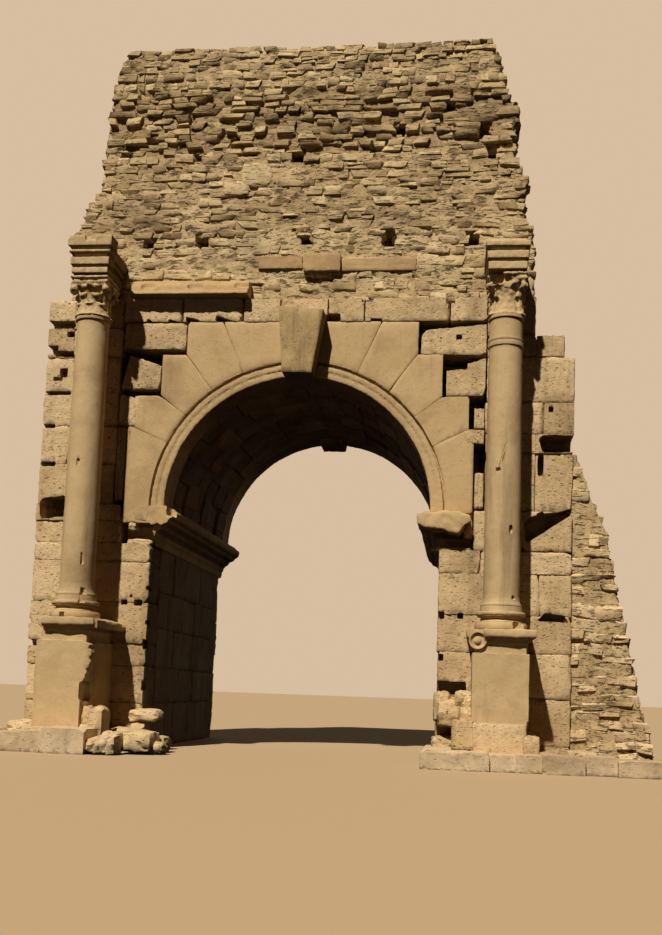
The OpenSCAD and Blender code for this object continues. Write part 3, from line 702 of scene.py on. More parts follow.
# Holes in the front: two distances from the axis, two heights and the depth
LEFT_CUTS = face_cuts(
    (-5.1, -4.38, 7.93, 8.1, 0.3), (-4.57, -4.41, 7.76, 7.89, 0.3), (-5.1, -4.7, 7.4, 7.62, 0.35),
    (-4.8, -4.38, 7.36, 7.5, 0.35), (-4.67, -4.5, 6.97, 7.17, 0.25), (-4.8, -4.6, 6.9, 6.99, 0.15),
    (-4.92, -4.4, 6.62, 6.71, 0.3), (-4.95, -4.68, 5.97, 6.07, 0.25), (-4.94, -4.62, 5.22, 5.34, 0.3),
    (-4.9, -4.36, 4.2, 4.69, 0.55), (-3.32, -2.6, 3.76, 4.16, 0.5), (-3.2, -3.06, 2.63, 2.74, 0.2),
    (-2.95, -2.77, 2.62, 2.75, 0.2), (-3.03, -2.97, 2.77, 2.83, 0.1), (-2.75, -2.6, 1.82, 2.02, 0.2),
    (-2.73, -2.58, 1.06, 1.26, 0.2), (-2.71, -2.6, 2.27, 2.36, 0.2), (-2.73, -2.6, 2.91, 3.0, 0.2),
    (-5.05, -4.7, 1.82, 1.96, 0.25), (-5.05, -4.9, 2.24, 2.34, 0.15))
RIGHT_CUTS = [
    *face_cuts((4.42, 5.2, 5.56, 5.93, 0.6), (4.4, 4.52, 5.15, 5.6, 0.3)),
    slanting_cut([(4.14, 3.84), (5.12, 4.5), (5.12, 4.62), (4.14, 4.4)], 0.5),
    slanting_cut([(4.36, 4.3), (4.62, 4.36), (4.5, 4.54), (4.4, 4.5)], 0.3),
    *face_cuts((4.58, 4.68, 6.34, 6.46, 0.2), (2.66, 2.8, 2.52, 2.68, 0.25), (3.02, 3.14, 2.54, 2.66, 0.25),
               (2.64, 3.24, 1.16, 1.44, 0.35), (2.68, 2.8, 1.78, 1.92, 0.2)),
    slanting_cut([(4.4, 2.54), (5.02, 2.5), (4.92, 2.66), (4.56, 2.7)], 0.3),
    face_cut(4.3, 4.36, 2.18, 2.26, 0.15)]


def wall_reach(side, end):
    """Ends of the facing at a height, with the ring and the impost left out"""
    def reach(z):
        inner = JAMB if z < IMPOST else JAMB + IMPOST_IN if z < SPRING else HAUNCH
        return sorted((side * inner, float(np.interp(z, *end))))
    return reach


def between_facings(z):
    return FACE + FACING, BACK - FACING


def darken_depths(piece, face, end):
    """Marks the joints and holes of a wall and its side along the passage, not its outer end, to be painted
    with shade
    """
    points = points_of(piece)
    painted_shade = np.empty(len(points), dtype=np.float32)
    piece.data.attributes["painted_shade"].data.foreach_get("value", painted_shade)
    depth = np.clip((abs(points[:, 1] - face) - 0.05) / 0.1, 0, 0.85)
    outside = abs(points[:, 0]) > abs(np.interp(points[:, 2], *end)) - 0.12
    depth[outside | (points[:, 1] < FACE) | (points[:, 1] > BACK)] = 0
    paint(piece, "painted_shade", np.maximum(painted_shade, depth))


def facing(side, label, beds, end, cuts):
    """The dressed stones of a side mass, front and back"""
    beds = [b for b in beds if abs(b - IMPOST) > 0.2 and abs(b - SPRING) > 0.25]
    for where, face, into in FACES:
        wall = Masonry(DRESSED, tone=0.55, spread=0.3)
        lay_courses(wall, face_side(face, into), sorted([*beds, IMPOST, SPRING]), wall_reach(side, end),
                    length=1.05, depth=FACING, relief=0.03, ragged=0.03, cuts=cuts if into > 0 else ())
        stones = wall.join(f"{label}_{where}_blocks")
        darken_depths(finish_piece(stones, ashlar_stone, f"{label}_{where}_ashlar"), face, end)


def cross_wall(name, wall_side, beds, spread, material, node=None, **settings):
    """Dressed stones at the end of a side mass or along the passage, between the two facings"""
    wall = Masonry(DRESSED, 0.5, spread)
    lay_courses(wall, wall_side, beds, between_facings, **settings)
    finish_piece(wall.join(name), material, node)


def side_core(side, label, end):
    """The rubble inside a side mass, a little behind the stones of its end"""
    node = label + "_core"
    low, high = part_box(node)
    inner = high.x if side < 0 else low.x
    outline = [(inner, 0), *[(x - side * CORE_BEHIND, z) for z, x in zip(*end)], (inner, ATTIC)]
    piece = lofted(node + "_mortar", [[(x, y, z) for x, z in outline] for y in (low.y, high.y)])
    apply(piece, "REMESH", mode="VOXEL", voxel_size=0.16)
    roughen(piece, 0.3, 0.06)
    finish_piece(piece, mortar, node, 0.45)


facing(-1, "left", LEFT_BEDS, LEFT_END, LEFT_CUTS)
facing(1, "right", RIGHT_BEDS, RIGHT_END, RIGHT_CUTS)
for name, wall_side, beds in (("left_end_blocks", end_side(LEFT_END, -1), LEFT_BEDS),
                              ("right_end_blocks", end_side(RIGHT_END, 1), RIGHT_BEDS[RIGHT_END_START:])):
    cross_wall(name, wall_side, beds, 0.3, ashlar_stone, length=0.95, depth=0.55, relief=0.05, missing=0.02)
side_core(-1, "left", LEFT_END)
side_core(1, "right", RIGHT_END)
for side, label in SIDES:
    jamb = end_side(([0, TOP], [side * JAMB, side * JAMB]), -side)
    cross_wall(label + "_passage_blocks", jamb, LINING_BEDS, 0.25, jamb_stone, label + "_passage_ashlar",
               length=1.15, depth=0.5, relief=0.02)

# Rubble left standing beyond the right end

WING_EDGE = ([0, 0.36, 1.21, 1.99, 2.6, 2.95, 3.4, 3.84, 4.23, 4.56, 4.92, 5.43, 5.6],
             [6.54, 6.48, 6.26, 6.12, 6.01, 5.91, 5.82, 5.73, 5.66, 5.51, 5.37, 5.21, 5.1])
wing_low, wing_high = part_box("right_rubble_wing")
WING_CORE = 0.06
# The stones in front stand out to the wall's face
WING_PROUD = 0.07
WING_SWAY = 0.03
# Mortar lies in lumps that are longer than they are high
BEDDED = 2.2
# Half the width at which a core is remeshed, before it is drawn between its two ends
CORE_HALF = 4


def wing_reach(z):
    return wing_low.x - 0.12, float(np.interp(z, *WING_EDGE))


def wing_depth(z):
    return wing_low.y + 0.1, wing_high.y - 0.1


def shaped_core(name, low, high, left_x, right_x, voxel, front_depth, back_depth, holes=()):
    """The mortared mass behind rubble: its ends follow two tables of height and place"""
    core = box_piece(name, (-CORE_HALF, low[1], low[2]), (CORE_HALF, high[1], high[2]))
    apply(core, "REMESH", mode="VOXEL", voxel_size=voxel)
    points = points_of(core)
    z = points[:, 2]
    share = (points[:, 0] / CORE_HALF + 1) / 2
    left, right = np.interp(z, *left_x), np.interp(z, *right_x)
    points[:, 0] = left + share * (right - left)
    middle = 0.5 * (low[1] + high[1])
    deep = (points[:, 1] - middle) / (high[1] - middle)
    points[:, 1] -= np.where(deep > 0, deep * np.interp(z, *back_depth), deep * np.interp(z, *front_depth))
    for x, hole_z, size in holes:
        near = (abs(points[:, 0] - x) < size * 1.1) & (abs(z - hole_z) < size * 1.1)
        points[near, 1] -= 0.5 * np.sign(points[near, 1] - middle)
    points[:, :2] /= BEDDED
    set_points(core, points)
    roughen(core, 0.15, 0.1 / BEDDED)
    points = points_of(core)
    points[:, :2] *= BEDDED
    set_points(core, points)
    roughen(core, 0.06, 0.045)
    return core


wing = Masonry(RUBBLE, tone=0.72, spread=0.3)
wing_beds = even_beds(0, wing_high.z, 0.19, 0.35)
for wall_side, reach, ragged in ((face_side(wing_low.y - WING_PROUD, 1, WING_SWAY), wing_reach, 0.08),
                                 (face_side(wing_high.y, -1, WING_SWAY), wing_reach, 0.08),
                                 (end_side(WING_EDGE, 1, WING_SWAY), wing_depth, 0)):
    lay_courses(wing, wall_side, wing_beds, reach, length=0.34, depth=0.4, joint=-0.05, relief=0.16,
                jitter=0.03, ragged=ragged, missing=0.06, split=0.2)
finish_piece(wing.join("right_wing_stones"), wing_stones, "right_rubble_wing", degrees=48)
wing_core = shaped_core("right_wing_mortar", wing_low, wing_high, ([0, 9], [5.0, 5.0]),
                        (WING_EDGE[0], [x - WING_CORE for x in WING_EDGE[1]]), 0.085,
                        ([0, 20], [WING_CORE - WING_PROUD] * 2), ([0, 20], [WING_CORE] * 2))
finish_piece(wing_core, mortar, tone=0.5)

# Face rings

# Neighbouring voussoirs run into each other by this angle
RING_OVERLAP = 0.2
# How far a degree more lowers the outer corner of a springer
SPRINGER_DROP = 0.045
# Across the moulded band: distance from the vault's edge, and depth behind the face
ARCHIVOLT_PROFILE = [(0, FACING), (0, 0.05), (0.008, 0.036), (0.104, 0.03), (0.112, 0.078),
                     (0.13, 0.08), (0.138, 0.014), (0.232, 0.008), (0.24, 0.09), (0.286, 0.095),
                     (0.292, 0.004), (0.31, 0.002), (0.31, FACING)]


def ring_outline(index):
    """Outer edge of a voussoir, counted from the keystone down"""
    rise = COURSE - SPRING
    tops = [(rise / math.tan(math.radians(a)), COURSE) for a in RING_ANGLES[:2]]
    if index == 0:
        return tops
    start = tops[1] if index == 1 else CORNERS[index - 2]
    corner = CORNERS[index - 1]
    return [start, (corner[0], start[1]), corner]


def voussoirs(where, face, into, side, label, foot):
    """Half a ring of wedge-shaped stones; foot lowers the springer by an angle"""
    ring = Masonry(FINE, tone=0.72, spread=0.12)
    for index, (a0, a1) in enumerate(zip(RING_ANGLES, RING_ANGLES[1:])):
        outline = ring_outline(index)
        if index == len(RING_ANGLES) - 2:
            a1 -= foot
            outline[-1] = (outline[-1][0], outline[-1][1] - foot * SPRINGER_DROP)
        ring.lay(stepped_shape(side, a0 + RING_OVERLAP, a1 - RING_OVERLAP, VAULT_R + ARCHIVOLT - 0.02,
                               outline, face, face + into * FACING))
    finish_piece(ring.join(f"{where}_{label}_ring_stones"), carved_stone,
                 f"{where}_{label}_voussoirs")


for (where, face, into), feet in zip(FACES, ((6, 1.5), (0, 0))):
    for (side, label), foot in zip(SIDES, feet):
        voussoirs(where, face, into, side, label, foot)

# The moulded band round the arch, swept along the ring and worn
for (where, face, into), first, last in zip(FACES, (-1.5, 0), (184, 180)):
    profile = np.array(ARCHIVOLT_PROFILE)
    r = VAULT_R + profile[:, 0]
    rings = [np.column_stack([r * math.cos(a), face + into * profile[:, 1], SPRING + r * math.sin(a)])
             for a in np.radians(np.linspace(first, last, 61))]
    band = lofted(where + "_archivolt", rings)
    weather(band, voxel=0.019, lumps=[(0.35, 0.022), (0.07, 0.014)], kept=0.2)
    finish_piece(band, carved_stone, tone=0.8)


def keystone(where, corners, y0, y1):
    stone = Masonry(FINE)
    stone.lay(quad_shape(corners, y0, y1), tone=0.5)
    # Painted shade on the keystone's right side
    finish_piece(stone.join(where + "_key"), key_stone, where + "_keystone",
                 sides=(0, 0.8))


keystone("front", [(-0.27, 6.95), (0.28, 6.94), (0.46, 8.13), (-0.38, 8.2)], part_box("front_keystone")[0].y,
         FACE + FACING)
key_low, key_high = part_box("back_keystone")
keystone("back", [(-0.27, key_low.z), (0.27, key_low.z), (0.37, key_high.z), (-0.37, key_high.z)],
         BACK, BACK - FACING)

# Haunches and the course over the ring

FRONT_LEFT_HAUNCH = [[(-3.44, 7.51), (-2.22, 7.51), (-2.21, 8.04), (-3.44, 8.04)],
                     [(-3.44, 6.74), (-2.67, 6.73), (-2.66, 7.2), (-3.3, 7.42)],
                     [(-3.44, 6.04), (-3.13, 6.03), (-2.9, 6.52), (-3.44, 6.64)],
                     [(-3.44, 4.6), (-3.28, 4.6), (-3.28, 6.0), (-3.44, 6.0)]]
FRONT_RIGHT_HAUNCH = [[(2.25, 7.42), (3.44, 7.4), (3.44, 7.99), (2.25, 7.88)],
                      [(2.73, 6.64), (3.44, 6.64), (3.44, 7.36), (2.73, 7.13)],
                      [(3.25, 6.03), (3.44, 6.03), (3.44, 6.4), (3.25, 6.4)],
                      [(3.14, 5.76), (3.44, 5.74), (3.44, 6.0), (3.02, 6.0)],
                      [(3.28, 4.55), (3.44, 4.55), (3.44, 5.2), (3.28, 5.2)]]
# A wall between two others has no outer end of its own
NO_END = ([0, TOP], [9, 9])


def haunch(where, label, quads, y0, y1, node=None, cuts=()):
    stones = Masonry(DRESSED, tone=0.55, spread=0.2)
    for corners in quads:
        stones.lay(quad_shape(corners, y0, y1), cuts)
    piece = stones.join(f"{where}_{label}_haunch_stones")
    darken_depths(finish_piece(piece, ashlar_stone, node), y0, NO_END)


haunch("front", "left", FRONT_LEFT_HAUNCH, FACE, FACE + FACING, "front_left_haunch",
       face_cuts((-3.2, -3.1, 4.3, 4.5, 0.1)))
haunch("front", "right", FRONT_RIGHT_HAUNCH, FACE, FACE + FACING, "front_right_haunch",
       face_cuts((2.88, 3.0, 7.7, 7.8, 0.2), (2.71, 3.12, 7.1, 7.4, 0.3)))
for side, label in SIDES:
    tops = [COURSE, *[z for x, z in CORNERS[:3]]]
    quads = [[(side * x, z + 0.01), (side * HAUNCH, z + 0.01), (side * HAUNCH, top), (side * x, top)]
             for (x, z), top in zip(CORNERS, tops)]
    haunch("back", label, quads, BACK, BACK - FACING)

course = Masonry(DRESSED, tone=0.6, spread=0.2)
course_cuts = [slanting_cut([(-3.06, 8.02), (-2.84, 8.0), (-2.88, 8.06), (-2.98, 8.14)], 0.4),
               slanting_cut([(-2.6, 8.04), (-2.3, 8.0), (-2.34, 8.05), (-2.58, 8.14)], 0.4),
               slanting_cut([(-2.2, 7.98), (-1.98, 7.98), (-1.96, 8.1), (-2.28, 8.2)], 0.4),
               slanting_cut([(-1.68, 8.07), (-1.25, 8.0), (-1.23, 8.06), (-1.68, 8.2)], 0.4),
               *face_cuts((1.28, 1.52, 7.97, 8.12), (2.68, 2.86, 8.38, 8.56), (0.42, 0.74, 8.0, 8.22, 0.35),
                          (1.1, 1.34, 8.42, 8.56, 0.15))]
for x0, x1 in ((-3.44, -2.32), (-2.3, -1.15), (-1.13, -0.44), (0.5, 1.16), (1.18, 2.76), (2.78, 3.44)):
    course.lay(quad_shape([(x0, COURSE), (x1, COURSE), (x1, ATTIC), (x0, ATTIC)], FACE, FACE + FACING),
               course_cuts)
# The stone over the keystone
course.lay(quad_shape([(-0.42, COURSE + 0.16), (0.48, COURSE + 0.13), (0.48, ATTIC), (-0.42, ATTIC)],
                      FACE, FACE + FACING))
piece = finish_piece(course.join("front_course_stones"), ashlar_stone, "front_dressed_course")
darken_depths(piece, FACE, NO_END)
course = Masonry(DRESSED, tone=0.6, spread=0.2)
lay_courses(course, face_side(BACK, -1), [COURSE, ATTIC], lambda z: (-HAUNCH, HAUNCH), length=1.15,
            depth=FACING)
finish_piece(course.join("back_course_stones"), ashlar_stone, "back_dressed_course")

# The vault, ring after ring of cut stones

RING_STONES = 17
VAULT_DEPTH = 0.6
vault = Masonry(PLAIN, tone=0.5, spread=0.35)
rows = even_beds(FACE + FACING, BACK - FACING, 0.72, 0.15)
for y0, y1 in zip(rows, rows[1:]):
    shift = rng.uniform(-2, 2)
    stops = [180, *[180 - 180 * (i + 0.5) / RING_STONES + shift for i in range(RING_STONES)], 0]
    for a0, a1 in zip(stops, stops[1:]):
        drop = rng.uniform(-0.02, 0.06)
        vault.lay(ring_shape(a0, a1, VAULT_R + drop, VAULT_R + VAULT_DEPTH, y0, y1))
finish_piece(vault.join("vault_stones"), soffit_stone, "barrel_vault")

# Imposts

IMPOST_H = SPRING - IMPOST
# Distance from the pier's face into the passage, and height over the bed
IMPOST_PROFILE = [(-0.59, 0), (-0.02, 0), (0, 0.15), (0.03, 0.17), (0.03, 0.22), (0.07, 0.26), (0.15, 0.32),
                  (0.17, 0.37), (0.29, 0.42), (0.3, 0.47), (0.36, 0.5), (0.4, 0.56), (0.4, 0.65),
                  (0.34, 0.68), (0.31, IMPOST_H), (-0.59, IMPOST_H)]
# Broken slab at the front of the right impost, seen from the front
IMPOST_SLAB = [(2.27, 4.41), (2.5, 4.44), (2.77, 4.46), (3.02, 4.46), (3.21, 4.38), (3.24, 4.28), (3.11, 4.2),
               (3.03, 4.04), (2.84, 4.07), (2.78, 4.11), (2.5, 4.15), (2.38, 4.16), (2.28, 4.23)]
IMPOST_LUMPS = [((-3.15, FACE - 0.02, 4.02), (-2.98, FACE + 0.3, 4.2)),
                ((3.1, FACE, 3.98), (3.28, FACE + 0.3, 4.2)),
                ((2.5, FACE + 0.02, 3.74), (3.28, FACE + 0.4, 3.86)),
                ((-3.2, FACE + 0.1, 3.76), (-2.7, -1.6, 3.9))]


def impost(side, label, front, cuts):
    """The moulding under the vault, along the whole pier, with its robbed front end"""
    node = label + "_impost"
    rings = [[(side * (JAMB - p), y, IMPOST + z) for p, z in IMPOST_PROFILE]
             for y in (front, MIDDLE_Y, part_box(node)[1].y)]
    piece = lofted(node + "_moulding", rings)
    carve(piece, cuts)
    weather(piece, voxel=0.026, lumps=[(0.4, 0.03), (0.12, 0.02)], kept=0.3)
    finish_piece(piece, carved_stone, node, 0.6)


impost(-1, "left", FACE, [*face_cuts((-3.3, -2.66, 3.7, 4.2), (-2.7, -2.5, 3.7, 4.2, 0.12)),
                          ((-2.42, FACE - 0.2, 4.3), (-2.2, FACE + 0.3, 4.6))])
impost(1, "right", FACE + 0.1, face_cuts((2.45, 3.3, 3.6, 4.12, 0.45), (2.2, 2.5, 3.6, 4.0, 0.2)))

slab_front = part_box("right_impost")[0].y
rings = [[(x, y, z) for x, z in IMPOST_SLAB] for y in (slab_front, FACE, FACE + 0.5)]
piece = lofted("right_impost_slab", rings)
weather(piece, voxel=0.026, lumps=[(0.3, 0.05), (0.1, 0.03)], kept=0.35)
finish_piece(piece, carved_stone, tone=0.7)


def lay_boxes(stones, places):
    """Lays a stone between each two corners"""
    for low, high in places:
        stones.lay(box_shape(low, high))


lumps = Masonry(BOULDERS, tone=0.6, spread=0.2)
lay_boxes(lumps, IMPOST_LUMPS)
finish_piece(lumps.join("impost_lumps"), ashlar_stone)

# Attic

# Its reach to each side: height and distance from the axis
ATTIC_LEFT = [(8.4, 4.68), (9.88, 4.66), (10.18, 4.52), (10.47, 4.43), (10.86, 4.2), (11.21, 4.13),
              (11.48, 4.2), (11.91, 4.11), (12.79, 4.08), (13.27, 3.92), (13.46, 3.9), (13.72, 3.77)]
ATTIC_RIGHT = [(8.4, 4.36), (9.84, 4.31), (10.13, 4.14), (10.62, 4.12), (10.83, 4.24), (11.08, 4.06),
               (11.34, 3.94), (11.88, 3.93), (12.21, 4.04), (12.73, 3.79), (13.17, 3.68), (13.72, 3.46)]
LEFT_EDGE, RIGHT_EDGE = [([z for z, x in edge], [side * x for z, x in edge])
                         for side, edge in ((-1, ATTIC_LEFT), (1, ATTIC_RIGHT))]
# Places and half widths of the holes left by the scaffold
PUTLOG_HOLES = [(-3.17, 11.84, 0.09), (-3.65, 11.52, 0.1), (-1.5, 11.8, 0.08), (-2.21, 11.48, 0.07),
                (-0.25, 11.43, 0.1), (1.3, 11.53, 0.09), (1.73, 11.95, 0.1), (3.33, 11.92, 0.1),
                (3.48, 11.47, 0.09), (2.66, 12.42, 0.09), (1.56, 9.84, 0.07), (-3.08, 9.7, 0.09),
                (-2.06, 9.73, 0.11), (-0.03, 9.75, 0.09), (1.58, 9.72, 0.09), (3.17, 9.72, 0.1)]
# Places where no stone is laid: two distances from the axis and two heights
HOLE_GAPS = [(x - r, x + r, z - r, z + r) for x, z, r in PUTLOG_HOLES]
STUB_GAP = (-0.9, 2.08, 9.14, 9.36)
# Open joints over the cornice's remains
SLOTS = [(-3.1, -2.7, 8.88, 8.96), (-2.5, -1.9, 8.89, 8.97), (-1.6, -1.1, 8.88, 8.95)]
SWAY = 0.014
OVERLAP = -0.03
# The mortar lies this far inside the ends
END_DEPTH = 0.07

# Node, height of a course, length of a stone, its relief and unevenness, raggedness of the ends,
# share of missing and of split stones, and tone
LIFTS = [("attic_lower_lift", 0.2, 0.36, 0.07, 0.02, 0.05, 0.04, 0.3, 0.76),
         ("attic_middle_lift", 0.17, 0.34, 0.07, 0.02, 0.05, 0.05, 0.3, 0.6),
         ("attic_upper_lift", 0.14, 0.36, 0.15, 0.016, 0.07, 0.06, 0.15, 0.44),
         ("attic_top_lift", 0.14, 0.27, 0.06, 0.014, 0.03, 0.04, 0.15, 0.64)]
# Depth of the mortar behind the faces, and its tone, by height
MORTAR = ([ATTIC, 8.8, 9.0, 9.9, 11.4, 11.55, 12.7, 12.85, TOP],
          [0.07, 0.05, 0.04, 0.04, 0.045, 0.1, 0.1, 0.05, 0.05])
MORTAR_TONE = ([9.9, 10, 11.4, 11.5, 12.7, 12.8], [0.8, 0.55, 0.5, 0.2, 0.2, 0.55])
PLASTER = [((-1.7, ATTIC_FACE - 0.03, 10.61), (-1.15, ATTIC_FACE + 0.1, 10.95)),
           ((-1.32, ATTIC_FACE - 0.035, 10.8), (-0.71, ATTIC_FACE + 0.1, 11.31))]


def attic_reach(z):
    return float(np.interp(z, *LEFT_EDGE)), float(np.interp(z, *RIGHT_EDGE))


def attic_depth(z):
    return ATTIC_FACE + 0.12, ATTIC_REAR - 0.12


ATTIC_WALLS = [(face_side(ATTIC_FACE, 1, SWAY), attic_reach, [*HOLE_GAPS, STUB_GAP, *SLOTS]),
               (face_side(ATTIC_REAR, -1, SWAY), attic_reach, HOLE_GAPS),
               (end_side(LEFT_EDGE, -1, SWAY), attic_depth, ()),
               (end_side(RIGHT_EDGE, 1, SWAY), attic_depth, ())]
for node, course_h, length, relief, jitter, ragged, missing, split, tone in LIFTS:
    low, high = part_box(node)
    stones = Masonry(RUBBLE, tone, 0.3)
    for wall_side, reach, gaps in ATTIC_WALLS:
        lay_courses(stones, wall_side, even_beds(low.z, high.z, course_h, 0.3), reach, length, 0.3, OVERLAP,
                    relief, jitter, ragged, missing, split, gaps)
    finish_piece(stones.join(node + "_stones"), rubble_stones, node, degrees=48)

attic_core = shaped_core("attic_mortar", (0, ATTIC_FACE, ATTIC), (0, ATTIC_REAR, TOP - 0.03),
                         (LEFT_EDGE[0], [x + END_DEPTH for x in LEFT_EDGE[1]]),
                         (RIGHT_EDGE[0], [x - END_DEPTH for x in RIGHT_EDGE[1]]), 0.062, MORTAR, MORTAR,
                         PUTLOG_HOLES)
finish_piece(attic_core, mortar, tone=np.interp(points_of(attic_core)[:, 2], *MORTAR_TONE))

plaster = Masonry(BOULDERS, tone=0.95, spread=0.03)
lay_boxes(plaster, PLASTER)
finish_piece(plaster.join("plaster_patch"), rubble_stones)

# What is left of the cornice

slab_low, slab_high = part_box("cornice_slab")
SLAB_TOP = slab_high.z + 0.15
SLAB_PROFILE = [(slab_high.y + 0.02, slab_low.z), (slab_low.y + 0.05, slab_low.z),
                (slab_low.y, slab_low.z + 0.02), (slab_low.y, slab_low.z + 0.055),
                (slab_low.y + 0.035, slab_low.z + 0.075), (slab_low.y + 0.06, slab_high.z),
                (slab_low.y + 0.2, SLAB_TOP), (slab_high.y + 0.05, SLAB_TOP)]
rings = [[(x, y, z) for y, z in SLAB_PROFILE] for x in np.linspace(slab_low.x, slab_high.x, 5)]
piece = lofted("cornice_remnant", rings)
carve(piece, [((x, slab_low.y - 0.1, slab_low.z + 0.12), (x + 0.3, slab_low.y + 0.14, SLAB_TOP + 0.1))
              for x in (-3.1, -2.2, -1.3)])
weather(piece, voxel=0.022, lumps=[(0.3, 0.035), (0.1, 0.02)], kept=0.35)
finish_piece(piece, carved_stone, "cornice_slab", 0.4)

stub_low, stub_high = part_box("stub_slab")
stub = Masonry(DRESSED, tone=0.55, spread=0.2)
stub.lay(box_shape((stub_low.x, ATTIC_FACE - 0.1, stub_low.z), stub_high))
# The slabs on both sides of it lie flush with the face
for x0, x1, z0, z1, tone in ((stub_high.x + 0.02, 2.1, 9.1, 9.36, 0.5),
                             (-0.92, stub_low.x - 0.02, 9.16, 9.4, 0.15)):
    stub.lay(box_shape((x0, ATTIC_FACE - 0.012, z0), (x1, ATTIC_FACE + 0.3, z1)), tone=tone)
finish_piece(stub.join("cornice_stub"), carved_stone, "stub_slab")

# Columns

PED_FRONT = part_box("right_pedestal")[0].y
FOOT_OUT = 0.1
SLAB_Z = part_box("right_pedestal_slab")[0].z
BASE_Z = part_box("right_column_base")[0].z
CAP_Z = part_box("right_capital")[0].z
CAP_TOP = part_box("right_capital")[1].z
shaft_low, shaft_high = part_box("right_shaft")
COLUMN_X = 0.5 * (shaft_low.x + shaft_high.x)
COLUMN_Y = 0.5 * (shaft_low.y + shaft_high.y)
SHAFT_FRONT = COLUMN_Y - 0.31

# Radius and height, of the base and of the shafts
BASE_PROFILE = [(0.43, 0), (0.445, 0.03), (0.445, 0.1), (0.43, 0.125), (0.385, 0.13), (0.385, 0.145),
                (0.35, 0.165), (0.34, 0.2), (0.36, 0.225), (0.4, 0.23), (0.4, 0.245), (0.418, 0.26),
                (0.42, 0.29), (0.405, 0.315), (0.36, 0.32), (0.36, 0.34), (0.358, 0.36), (0.352, 0.41)]
SHAFT_FOOT = [(0.35, 2.71), (0.35, 2.74), (0.336, 2.76), (0.318, 2.82), (0.31, 2.9), (0.308, 4.5), (0.3, 6.2)]
SHAFT_HEAD = [(0.318, 7.765), (0.318, 7.825), (0.3, 7.83)]
WHOLE_SHAFT = [*SHAFT_FOOT, (0.288, 7.6), (0.291, 7.74), (0.296, 7.76), *SHAFT_HEAD]
SPLIT_SHAFT = [*SHAFT_FOOT, (0.294, 7.26), (0.312, 7.27), (0.312, 7.35), (0.3, 7.36)]
DRUM = [(0.312, 7.36), (0.312, 7.4), (0.294, 7.41), (0.294, 7.76), *SHAFT_HEAD]
SHAFT_STEP = 0.07


def turned(name, stops, centre, cuts, tone, node, lumps):
    """A round worn piece, from its radii and heights"""
    piece = lofted(name, [circle(r, z, centre) for r, z in stops])
    carve(piece, cuts)
    for size, strength in lumps:
        roughen(piece, size, strength)
    finish_piece(piece, marble, node, tone, 45)


def shaft(stops, node, centre, cuts):
    """A shaft, with rings added between its stops"""
    radii, heights = zip(*stops)
    every = sorted({*heights, *np.arange(heights[0], heights[-1], SHAFT_STEP)})
    stops = [(float(np.interp(z, heights, radii)), z) for z in every]
    turned(node + "_stone", stops, centre, cuts, 0.72, node, ((0.5, 0.014), (0.09, 0.008)))


def base(label, centre, cuts):
    turned(label + "_base_mouldings", [(r, BASE_Z + z) for r, z in BASE_PROFILE], centre, cuts, 0.75,
           label + "_column_base", ((0.3, 0.012), (0.06, 0.008)))


def chip(x, z, w, h, depth=0.05):
    """A chip in the front of a column, given from its middle"""
    return ((x - w / 2, SHAFT_FRONT - 0.2, z - h / 2), (x + w / 2, SHAFT_FRONT + depth, z + h / 2))


LEFT_CHIPS = [chip(*place) for place in (
    (-3.55, 2.78, 0.12, 0.16, 0.12), (-3.78, 5.1, 0.07, 0.14), (-3.9, 3.6, 0.1, 0.06, 0.02),
    (-3.6, 6.3, 0.05, 0.2, 0.06), (-3.6, 3.36, 0.08, 0.26, 0.09))]
RIGHT_CHIPS = [chip(3.67, 5.05, 0.09, 0.08, 0.08), chip(3.9, 4.02, 0.07, 0.16, 0.1),
               chip(3.98, 2.86, 0.1, 0.08, 0.12),
               slanting_cut([(3.64, 5.0), (3.71, 5.0), (3.85, 5.58), (3.81, 5.6)], 0.03, SHAFT_FRONT)]
LEFT_AXIS = (-COLUMN_X, COLUMN_Y)
RIGHT_AXIS = (COLUMN_X, COLUMN_Y)
shaft(WHOLE_SHAFT, "left_shaft", LEFT_AXIS, LEFT_CHIPS)
base("left", LEFT_AXIS, [((-3.9, COLUMN_Y - 0.6, BASE_Z - 0.02), (-3.8, COLUMN_Y - 0.36, BASE_Z + 0.1)),
                         ((-3.6, COLUMN_Y - 0.5, BASE_Z + 0.26), (-3.48, COLUMN_Y - 0.28, BASE_Z + 0.44))])
shaft(SPLIT_SHAFT, "right_shaft", RIGHT_AXIS, RIGHT_CHIPS)
shaft(DRUM, "right_shaft_drum", RIGHT_AXIS, ())
base("right", RIGHT_AXIS, [((3.95, COLUMN_Y - 0.5, BASE_Z - 0.02), (4.2, COLUMN_Y - 0.22, BASE_Z + 0.16))])

# Capitals: a bell, two rings of leaves, corner scrolls and a hollow-sided top plate

# The capital's own height, under two bands, as a share of the height that it is made at
CAP_HEIGHT = 0.85
# Radius and height of the bell
BELL = [(0.29, 0), (0.262, 0.05), (0.25, 0.2), (0.255, 0.38), (0.3, 0.54), (0.37, 0.62), (0.38, 0.66)]
LEAF_WIDTH = 0.24
# The leaves are bent round the bell at this radius
LEAF_RADIUS = 0.32
# Height, curl and first angle of the lower and the upper leaves
LEAVES = ((0.3, 0.1, 0), (0.5, 0.12, 22.5))
# Lean, distance from the axis, height, half width and half thickness along a scroll's stem
STEM = ((1, 0.3, 0.36, 0.05, 0.03), (0.8, 0.36, 0.52, 0.045, 0.035), (0.5, 0.43, 0.61, 0.045, 0.04),
        (0.1, 0.49, 0.63, 0.04, 0.04))
# Radius and place across a scroll
SCROLL = ((0.035, -0.055), (0.06, -0.05), (0.068, 0), (0.06, 0.05), (0.035, 0.055))
SCROLL_OUT, SCROLL_UP = 0.47, 0.575
FLOWER_OUT, FLOWER_UP, FLOWER_SIZE = 0.36, 0.62, (0.12, 0.12, 0.13)
